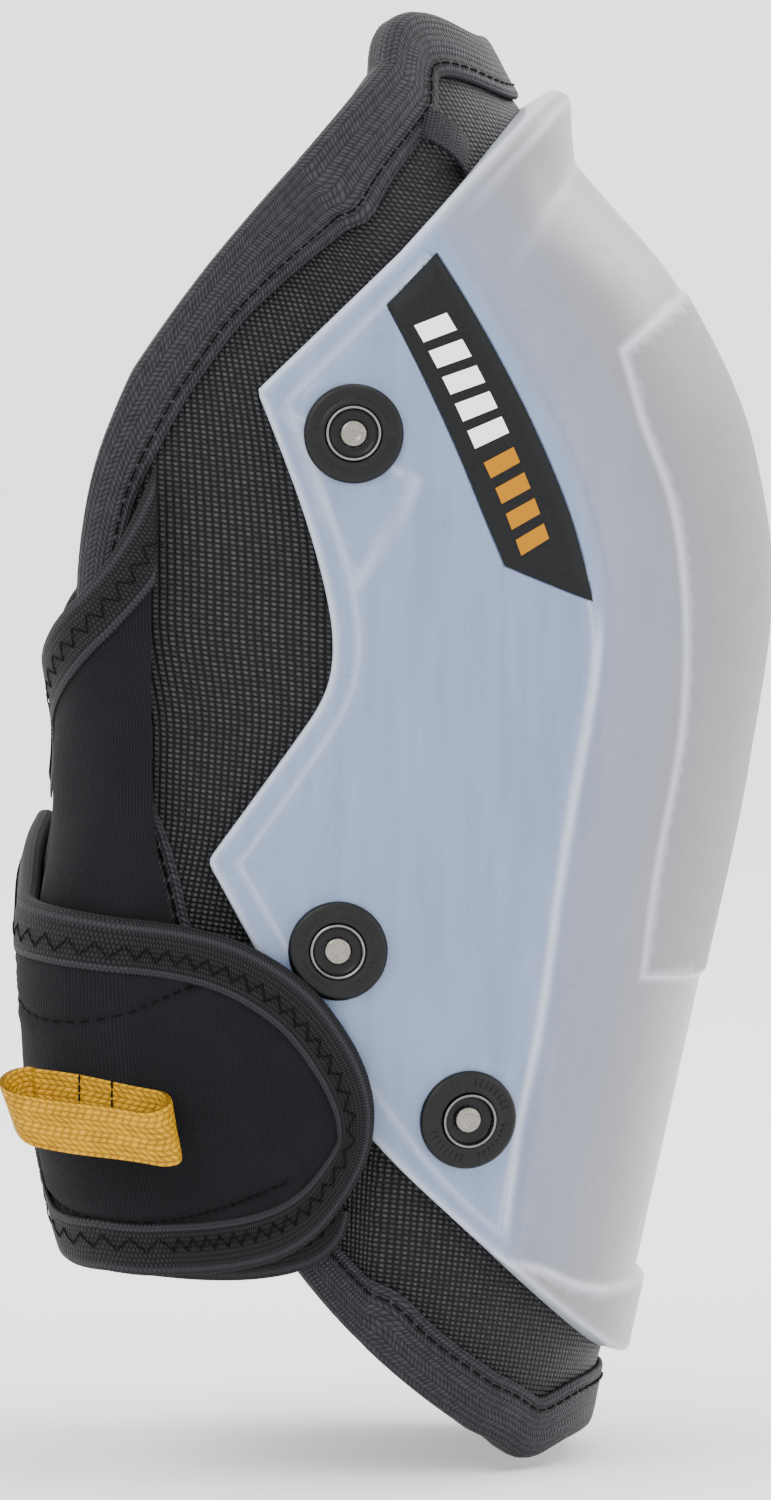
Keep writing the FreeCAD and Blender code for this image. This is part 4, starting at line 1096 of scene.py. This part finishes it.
def make_binding():
    ways = [12.3, 12.1, 11.6, 10.6, 9.8, 8.0, 6.0, 4.0, 2.2, 0.9, 0.15, -0.35]
    outer = list(zip(ways, (3.0, 2.3, 2.0, 1.98, 2.06, 1.9, 1.84, 1.85, 1.95, 2.3, 3.0, 4.2)))
    inner_ways = [-0.5, -0.35, 0.4, 1.6, 3.5, 6.0, 9.0, 10.4, 11.6, 12.0]
    inner = []
    for w in inner_ways:
        deep = float(foam_depth(w)) + 1.65 + 1.1
        inner.append((w, {-0.5: 5.6, -0.35: 8.6}.get(w, deep + 0.1)))
    back = [(12.0, float(foam_depth(12)) + 1.7), (6.0, float(foam_depth(6)) + 1.75), (1.6, 9.2),
            (1.3, 4.0), (6.0, 3.04)]
    section = outer + inner + back

    def wobble(along, girth, way):
        tug = 0.10 * np.sin(along / 3.5 * 2 * math.pi) * (1 if 8.5 < way < 11 else 0.25)
        return tug + 0.12 * np.sin(along / 17.0 + girth * 0.3)

    inward = inward_side(pad_outline)
    binding = tape("edge_tape", pad_outline, section, True, inward, wobble)
    wear_it(binding, TRIM, "pad")
    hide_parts("edge_binding")
    row = Pile()
    stitches(row, pad_outline, True, inward, 10.0, 1.85, 2.6, 1.0, 0.24)
    wear_it(row.make("edge_tape_stitches"), BLACK_THREAD, "pad")


QUILT_LINES = (56.0, -46.0)
SWELL_FRAMES, SWELL_PRESSURE, SWELL_VOXEL = 20, 4.0, 0.0045


def baked(obj):
    """The object's mesh with its modifiers worked in."""
    bpy.context.view_layer.update()
    evaluated = obj.evaluated_get(bpy.context.evaluated_depsgraph_get())
    mesh = bpy.data.meshes.new_from_object(evaluated)
    obj.modifiers.clear()
    obj.data = mesh
    return obj


def inflate(obj, held, cap):
    """Swells a closed pad by cloth simulation. held(points) is 1 where the cloth is sewn down, and
    cap is the farthest that a point may move."""
    remesh = obj.modifiers.new("even", "REMESH")
    remesh.mode, remesh.voxel_size = "VOXEL", SWELL_VOXEL
    baked(obj)
    before = np.array([v.co for v in obj.data.vertices])
    group = obj.vertex_groups.new(name="sewn")
    weights = np.round(held(before / MM), 1)
    for level in np.unique(weights):
        if level > 0:
            group.add(np.nonzero(weights == level)[0].tolist(), float(level), "REPLACE")
    cloth = obj.modifiers.new("cloth", "CLOTH")
    cloth.settings.quality = 5
    cloth.settings.use_pressure = True
    cloth.settings.uniform_pressure_force = SWELL_PRESSURE
    cloth.settings.effector_weights.gravity = 0.0
    cloth.settings.vertex_group_mass = "sewn"
    cloth.settings.tension_stiffness = cloth.settings.compression_stiffness = 8.0
    cloth.settings.bending_stiffness = 0.3
    cloth.point_cache.frame_start, cloth.point_cache.frame_end = 1, SWELL_FRAMES
    for step in range(1, SWELL_FRAMES + 1):
        bpy.context.scene.frame_set(step)
    baked(obj)
    bpy.context.scene.frame_set(1)
    after = np.array([v.co for v in obj.data.vertices])
    move = after - before
    size = np.linalg.norm(move, axis=1, keepdims=True)
    after = before + move * np.minimum(1.0, cap * MM / np.maximum(size, 1e-9))
    obj.data.vertices.foreach_set("co", after.ravel())
    obj.vertex_groups.clear()
    divide = obj.modifiers.new("smooth", "SUBSURF")
    divide.levels = 1
    return baked(obj)


def make_liner():
    outline = inset(pad_outline, 1.5)
    filled = fill(outline, 3.2, (), (1.5, 4.0))
    way = distance(filled[0], pad_outline)
    deep = foam_depth(way)
    flat = filled[0]
    quilt = np.zeros(len(flat))
    for height in QUILT_LINES:
        line = height + 8 * np.cos(flat[:, 0] / 60)
        quilt = np.maximum(quilt, bell(flat[:, 1], line, 3.2))
    liner = plate("cushion", filled, 4.5, deep + 1.6 - 2.8 * quilt * ramp(way, 2, 10), 60)
    wear_it(liner, LINING, "pad")
    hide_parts("inner_liner", "foam_core", "gel_insert")


def clipped(outline, level, above):
    """The part of an outline above or below a level."""
    kept = []
    for a, b in zip(outline, np.roll(outline, -1, axis=0)):
        a_in, b_in = (a[1] > level) == above, (b[1] > level) == above
        if a_in:
            kept.append(a)
        if a_in != b_in:
            kept.append(a + (b - a) * (level - a[1]) / (b[1] - a[1]))
    return np.array(kept)


def make_cushions():
    """Three pads on the leg side, sewn down at their edges and swelled by cloth simulation."""
    field = inset(pad_outline, 15)
    zones = (("thigh", clipped(field, 60, True)),
             ("knee", clipped(clipped(field, 55, False), -43, True)),
             ("shin", clipped(field, -48, False)))
    for name, outline in zones:
        loop = closed(outline)
        filled = fill(even(chain(loop, loop[:1]), 2.0)[:-1], 4.0, (), (2.0, 5.0))
        flat = filled[0]
        edge = distance(flat, outline)
        deep = foam_depth(distance(flat, pad_outline))
        crown = 2.2 * ramp(edge, 0, 9)
        pad = plate("cushion_%s" % name, filled, 5.2, deep + 0.7 + crown, 60)
        points = np.array([v.co for v in pad.data.vertices]) / MM
        tree = KDTree(len(points))
        for i, point in enumerate(points):
            tree.insert(point, i)
        tree.balance()
        sewn = np.concatenate([np.ones(len(flat)), 1 - ramp(edge, 1, 8)])
        inflate(pad, lambda where: np.array([sewn[tree.find(p)[1]] for p in where]), 4.5)
        pad.data.shade_smooth()
        wear_it(pad, LINING, "pad")


# ---- wings -------------------------------------------------------------------------------------
WING = (-0.9, 1.1)
ELASTIC_WIDTH = 10.0
wing_top = chain(on_side(spline([(-43.3, 36.2), (-51, 20.5), (-57.7, 11.6)])),
                 spline([side_point(-57.7, 11.6), back_point(-50, -6.5),
                         back_point(-30, -15.5), back_point(-8, -20.5)]))
wing_end = chain([wing_top[-1]], [back_point(-8, -118.6)])
wing_low = chain([wing_end[-1]], spline([tuple(wing_end[-1]), back_point(-50, -117.6),
                                         side_point(-50, -117.0)]),
                 on_side(spline([(-50, -117.0), (-35, -118.4), (-20, -117.6), (-12, -114.6),
                                 (-8, -110), (-6.7, -105.5)])))
wing_front = on_side(spline([(-6.7, -105.5), (-16, -93), (-29, -73), (-38, -55), (-42.2, -38),
                             (-43.3, -20), (-43.3, 8), (-43.3, 36.2)]))
wing_outline = closed(chain(wing_top, spline(wing_end), wing_low, wing_front))


def fold_section(outer, inner, width, thick):
    """The section of an elastic folded over an edge, from one leg's end to the other's."""
    mid = (outer + inner) / 2
    out = [(width, outer + thick - 0.05), (width - 0.15, outer + 0.12), (width - 0.8, outer)]
    out += [(w, outer + 0.05 * math.sin(w * 1.3)) for w in np.linspace(width - 2, 2.0, 5)]
    out += [(0.7, outer + 0.12), (0.05, outer + 0.7), (-0.25, mid), (0.05, inner - 0.7)]
    out += [(0.7, inner - 0.12)]
    out += [(w, inner) for w in np.linspace(2.0, width - 2, 4)]
    out += [(width - 0.3, inner - 0.1), (width - 0.1, inner - thick + 0.05)]
    out += [(2.0, inner - thick), (0.9, mid), (2.0, outer + thick)]
    return out


def behind_seam(q):
    """Points moved back to the seam where they lie ahead of it."""
    line = wing_front[np.argsort(wing_front[:, 1])]
    seam = np.interp(q[:, 1], line[:, 1], line[:, 0])
    return np.stack([np.sign(q[:, 0]) * np.maximum(np.abs(q[:, 0]), seam), q[:, 1]], -1)


def past_seam(g, z):
    """True where every point lies behind the seam."""
    q = np.stack([g, z], -1)
    return np.abs(behind_seam(q) - q).max() < 0.01


def make_wings():
    for name, side in (("near", -1), ("far", 1)):
        sign = np.array([side, 1])
        outline = inset(wing_outline, 0.9) * sign
        filled = fill(outline, 2.6, (), (0.8, 2.0))
        flat = filled[0]
        a = np.abs(flat[:, 0])
        soft = 0.22 * np.sin(a / 6.1 + flat[:, 1] / 17.0) + 0.16 * np.sin(flat[:, 1] / 5.3 - a / 23.0)
        corner = bell(a, 178, 16)
        crease = 0.45 * corner * np.sin(flat[:, 1] / 4.6 + a / 9.0)
        edge = distance(flat, outline)
        soft = (soft + crease) * ramp(edge, 6, 16)
        wing = plate("wing_cloth_%s" % name, filled, WING[0] + soft, WING[1] + soft, 60)
        wear_it(wing, NEOPRENE, None)
        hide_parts("wing_%s" % name, "wing_base_%s" % name)
        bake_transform(wing)
        pieces = []
        lower_nodes = ["wing_band_lower_%s" % name, "wing_base_band_%s" % name]
        for part, path, nodes in (("upper", wing_top, ["wing_band_upper_%s" % name]),
                                  ("lower", wing_low, lower_nodes)):
            edge_path = path * sign
            section = fold_section(-1.5, 1.7, ELASTIC_WIDTH, 0.5)
            band = tape("wing_%s_edge_%s" % (part, name), edge_path, section, False, -side, None,
                        behind_seam)
            wear_it(band, ELASTIC, None)
            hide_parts(*nodes)
            rows = Pile()
            for depth, thick in ((-1.62, 0.14), (1.82, 0.16)):
                stitches(rows, edge_path, False, -side, 5.4, depth, 2.0, 0.15, thick, 3.6, past_seam)
            row = wear_it(rows.make("wing_%s_stitches_%s" % (part, name)), BLACK_THREAD, None)
            for piece in (band, row):
                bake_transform(piece)
            pieces += [band, row]


def make_pile():
    corners = [(166, -98), (228, -98), (234, -92), (234, -66), (228, -60), (170, -60), (166, -66),
               (166, -98)]
    outline = closed(chain(*[spline([a, b]) for a, b in zip(corners, corners[1:])])) * [-1, 1]
    filled = fill(outline, 2.4, (), (0.6, 1.4))
    edge = distance(filled[0], outline)
    pile = plate("loop_pile", filled, -1.85 + 0.5 * (1 - ramp(edge, 0, 1.6)), -0.98, 60)
    wear_it(pile, PILE_CLOTH, "near_wing")
    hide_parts("loop_pile_near")


# ---- the strap ---------------------------------------------------------------------------------
STRAP = (-4.6, -2.55)
STRAP_FRONT = [(-50, -49.2), (-40, -50.4), (-28.4, -53.4), (-20.9, -57.2), (-13.5, -63),
               (-8, -70), (-4.3, -76.8), (-2.4, -84), (-2.5, -90), (-4.3, -96.4), (-7.6, -102.3),
               (-12, -108), (-18.4, -112.7), (-26, -115.2), (-34.3, -116.3), (-45, -116.3),
               (-50, -115.6)]
strap_tip = on_side(spline(STRAP_FRONT, 1.4))
tip_start, tip_stop = tuple(strap_tip[0]), tuple(strap_tip[-1])
strap_upper = spline([tip_start, side_point(-60, -47.8), back_point(-44, -45.2), back_point(-20, -41.6),
                      back_point(0, -39), back_point(32, -35.6)], 1.8)
strap_lower = spline([tip_stop, side_point(-60, -112.2), back_point(-44, -104.8),
                      back_point(-20, -100.6), back_point(0, -98.2), back_point(32, -96.1)], 1.8)
strap_path = chain(strap_upper[::-1], strap_tip, strap_lower)
strap_root = spline([tuple(strap_lower[-1]), tuple(strap_upper[-1])], 1.8)
strap_outline = closed(chain(strap_path, strap_root))
welt_top = chain(spline([back_point(-10, -56), back_point(-45, -62),
                         side_point(-60.6, -68.7), side_point(-53.8, -68.3),
                         side_point(-44.1, -65.0), side_point(-36, -61.6)]))
welt_low = chain(spline([back_point(-10, -90), back_point(-45, -98.5),
                         side_point(-58, -104.0), side_point(-47, -106.2),
                         side_point(-36.4, -105.2), side_point(-26.7, -102.3),
                         side_point(-18.2, -98.6)]))


def bend_at_corner(obj):
    """Works the object's placement into its mesh; the strap already runs round the near rear corner on
    the ring.
    """
    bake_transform(obj)


def make_strap():
    near = np.array([-1, 1])
    outline = inset(strap_outline, 0.9) * near
    welts = [line * near for line in (welt_top, welt_low)]
    filled = fill(outline, 2.4, welts, (0.8, 2.0), (-1.4, -0.6, 0.0, 0.6, 1.4))
    flat = filled[0]
    groove = np.minimum(distance(flat, welts[0], False), distance(flat, welts[1], False))
    dent = 0.75 * bell(groove, 0, 0.8) - 0.45 * bell(groove, 2.4, 1.3)
    soft = 0.12 * np.sin(flat[:, 0] / 8.0) * np.sin(flat[:, 1] / 6.0)
    strap = plate("strap_cloth", filled, STRAP[0] + dent + soft, STRAP[1] + soft, 60)
    wear_it(strap, NEOPRENE, None)
    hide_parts("strap_end", "strap_rear")
    bend_at_corner(strap)
    inward = -inward_side(strap_outline)
    section = fold_section(-5.3, -1.25, ELASTIC_WIDTH, 0.55)
    band = tape("strap_edge", strap_path * near, section, False, inward)
    wear_it(band, ELASTIC, None)
    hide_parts("strap_end_band", "strap_rear_band_upper", "strap_rear_band_lower")
    bend_at_corner(band)
    rows = Pile()
    for depth in (-5.42, -1.14):
        stitches(rows, strap_path * near, False, inward, 6.0, depth, 2.2, 0.1, 0.15, 3.4)
    for line in welts:
        stitches(rows, line, False, 1.0, 0.0, -4.32, 2.0, 0.8, 0.17)
    root = [(276.5, -47.5), (276.5, -86.5), (262.0, -86.5), (262.0, -47.5), (276.5, -47.5),
            (262.0, -86.5), (262.0, -47.5), (276.5, -86.5)]
    for a, b in zip(root, root[1:]):
        line = np.linspace(a, b, 24) * near
        stitches(rows, line, False, 1.0, 0.0, -4.72, 2.4, 0.8, 0.2)
    row = wear_it(rows.make("strap_stitches"), BLACK_THREAD, None)
    bend_at_corner(row)
    hook_line = inset(strap_outline, 12.0) * near
    hook_line = hook_line[np.abs(hook_line[:, 0]) < 172]
    hook = plate("hook_tape", fill(hook_line, 2.6, (), (0.6,)), -2.5, -1.95, 60)
    wear_it(hook, HOOKS, "strap_end")
    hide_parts("hook_patch")


# ---- the pull tab ------------------------------------------------------------------------------
TAB_CENTRE = (-54.6, -83.0)
TAB_TURN, TAB_SLOPE = math.radians(11.0), math.radians(8.5)
TAB_LENGTH, TAB_DEPTH, TAB_HEIGHT, TAB_THICK, TAB_DROOP = 33.0, 9.6, 10.0, 1.3, 5.0


def make_tab():
    x, z = TAB_CENTRE
    place = -float(way_round(x, z)), z
    point, normal = ring(*place), ring_normal(*place)
    outward = np.array([-math.sin(TAB_TURN), -math.cos(TAB_TURN), 0])
    flat_way = np.array([math.cos(TAB_TURN), -math.sin(TAB_TURN), 0])
    along = flat_way * math.cos(TAB_SLOPE) - np.array([0, 0, 1]) * math.sin(TAB_SLOPE)
    origin = point + normal * 4.95 + along * 2.6
    radius = TAB_DEPTH / 2 - TAB_THICK / 2
    straight = TAB_LENGTH / 2 - TAB_DEPTH / 2
    level = TAB_DEPTH / 2

    def bow(middle, first, last):
        turns = [math.radians(t) for t in np.linspace(first, last, 19)[:-1]]
        return [(middle + radius * math.cos(t), level + radius * math.sin(t)) for t in turns]

    path = [(t, TAB_THICK / 2) for t in np.linspace(-straight, straight, 23)[:-1]]
    path += bow(straight, -90, 90)
    path += [(t, TAB_DEPTH - TAB_THICK / 2) for t in np.linspace(straight, -straight, 23)[:-1]]
    path += bow(-straight, 90, 270)
    path = np.array(path)
    hang = -TAB_DROOP * path[:, 1] / TAB_DEPTH
    n = len(path)
    tangent = np.roll(path, -1, axis=0) - np.roll(path, 1, axis=0)
    tangent /= np.linalg.norm(tangent, axis=1, keepdims=True)
    out = np.stack([tangent[:, 1], -tangent[:, 0]], -1)
    profile = [(0.5, -0.47), (0.62, -0.42), (0.65, -0.3), (0.65, -0.1), (0.65, 0.1), (0.65, 0.3),
               (0.62, 0.42), (0.5, 0.47)]
    profile += [(-way, high) for way, high in profile[::-1]]
    length = arc_lengths(path, True)
    vertices, uv = [], []
    for i in range(n):
        for side, high in profile:
            q = path[i] + out[i] * side
            lift = hang[i] + high * TAB_HEIGHT + 0.25 * math.sin(length[i] / 5.0)
            lean = -0.42 * high * TAB_HEIGHT * min(1.0, max(0.0, q[1]) / TAB_DEPTH * 1.3)
            up = np.array([0, 0, lift])
            vertices.append(origin + along * (q[0] + lean) + outward * q[1] + up)
            uv.append((length[i], high * TAB_HEIGHT + (20 if side < 0 else 0)))
    tab = mesh_object("pull_tab_loop", vertices, quads(n, len(profile), True), uv, 50)
    wear_it(tab, YELLOW, None)
    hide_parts("pull_tab", "pull_tab_base")
    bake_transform(tab)
    rows = Pile()
    for t in (-3.2, 3.2):
        for k in range(5):
            high = -3.9 + k * 1.75
            line = [origin + along * t + outward * (TAB_THICK + lift) + np.array([0, 0, high + h])
                    for h, lift in ((0, -0.2), (0.2, 0.1), (0.7, 0.14), (1.2, 0.1), (1.4, -0.2))]
            thread(rows, line, 0.2)
    wear_it(rows.make("pull_tab_stitches"), BLACK_THREAD, "strap_end")


# ---- the keeper tapes --------------------------------------------------------------------------
def make_keepers():
    for name, side in (("near", -1), ("far", 1)):
        start, stop = on_side([(7.8, 102.2), (17.2, 94.3)])
        path = spline([tuple(start), tuple(stop)], 0.9)
        across = shifted(path, 1.0, False) - path
        t = np.linspace(0, 1, len(path))
        depth = 3.0 - 2.9 * np.sin(math.pi * t) ** 0.5
        vertices, uv = [], []
        section = [(-4.4, 0.0), (-4.2, -0.35), (-2, -0.45), (0, -0.48), (2, -0.45), (4.2, -0.35),
                   (4.4, 0.0), (4.2, 0.55), (0, 0.6), (-4.2, 0.55)]
        for i in range(len(path)):
            for way, d in section:
                q = path[i] + across[i] * way
                vertices.append(at_depth(side * q[0], q[1], depth[i] + d))
                uv.append((way + 20, t[i] * 12))
        faces = quads(len(path), len(section))
        keeper = mesh_object("keeper_tape_%s" % name, vertices, faces, uv, 50)
        wear_it(keeper, RIBBED, "pad")
        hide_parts("shell_keeper_%s" % name)


# ---- the studio --------------------------------------------------------------------------------
VIEW_HEIGHT, VIEW_DISTANCE, VIEW_ELEVATION, AIM_Z = 292.5, 2500.0, 3.0, -21.45


def make_studio():
    floor_z = cad_box[0][2] / MM
    vertices, faces = [(0, 0, floor_z)], []
    rings, count = (400, 1500, 6000, 30000), 48
    for radius in rings:
        for k in range(count):
            a = 2 * math.pi * k / count
            vertices.append((radius * math.cos(a), radius * math.sin(a), floor_z))
    for k in range(count):
        l = (k + 1) % count
        faces.append((0, 1 + k, 1 + l))
        for i in range(len(rings) - 1):
            a, b = 1 + i * count, 1 + (i + 1) * count
            faces.append((a + k, b + k, b + l, a + l))
    floor = mesh_object("studio_floor", vertices, faces)
    floor.data.materials.append(floor_paint())

    def light(name, place, size, energy, target=(0, 0, -0.02), colour=(1, 1, 1)):
        data = bpy.data.lights.new(name, "AREA")
        data.shape, data.size, data.energy, data.color = "SQUARE", size, energy, colour
        obj = bpy.data.objects.new(name, data)
        bpy.context.scene.collection.objects.link(obj)
        obj.location = place
        obj.rotation_euler = (Vector(target) - Vector(place)).to_track_quat("-Z", "Y").to_euler()

    light("key", (-1.1, -1.5, 1.3), 0.8, 16)
    light("fill", (1.6, -1.2, 0.5), 1.0, 5)
    light("top", (0.1, 0.1, 1.7), 1.0, 10)
    light("back", (0.9, 1.1, 0.9), 0.9, 8)
    world = bpy.data.worlds.new("studio")
    world.use_nodes = True
    world.node_tree.nodes["Background"].inputs["Color"].default_value = (1, 1, 1, 1)
    world.node_tree.nodes["Background"].inputs["Strength"].default_value = 2.4
    bpy.context.scene.world = world
    data = bpy.data.cameras.new("camera")
    data.sensor_fit, data.sensor_height = "VERTICAL", 24.0
    data.lens = 24.0 * VIEW_DISTANCE / VIEW_HEIGHT
    data.clip_end = 20
    camera = bpy.data.objects.new("camera", data)
    bpy.context.scene.collection.objects.link(camera)
    lift = math.radians(VIEW_ELEVATION)
    aim = Vector((0, 0, AIM_Z * MM))
    camera.location = aim + Vector((0, -math.cos(lift), math.sin(lift))) * VIEW_DISTANCE * MM
    camera.rotation_euler = (aim - camera.location).to_track_quat("-Z", "Y").to_euler()
    bpy.context.scene.camera = camera


def finish_hidden_nodes():
    """The sealed pieces that stay as CAD nodes get their own finishes."""
    for node, material in (("snap_backing_washers", CLEAR), ("strap_join_patch", NEOPRENE)):
        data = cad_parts[node].data
        data.materials.clear()
        data.materials.append(material)


for make in (make_shell, make_labels, make_snaps, make_cover, make_binding, make_liner, make_cushions,
             make_wings, make_pile, make_strap, make_tab, make_keepers, finish_hidden_nodes,
             make_studio):
    make()
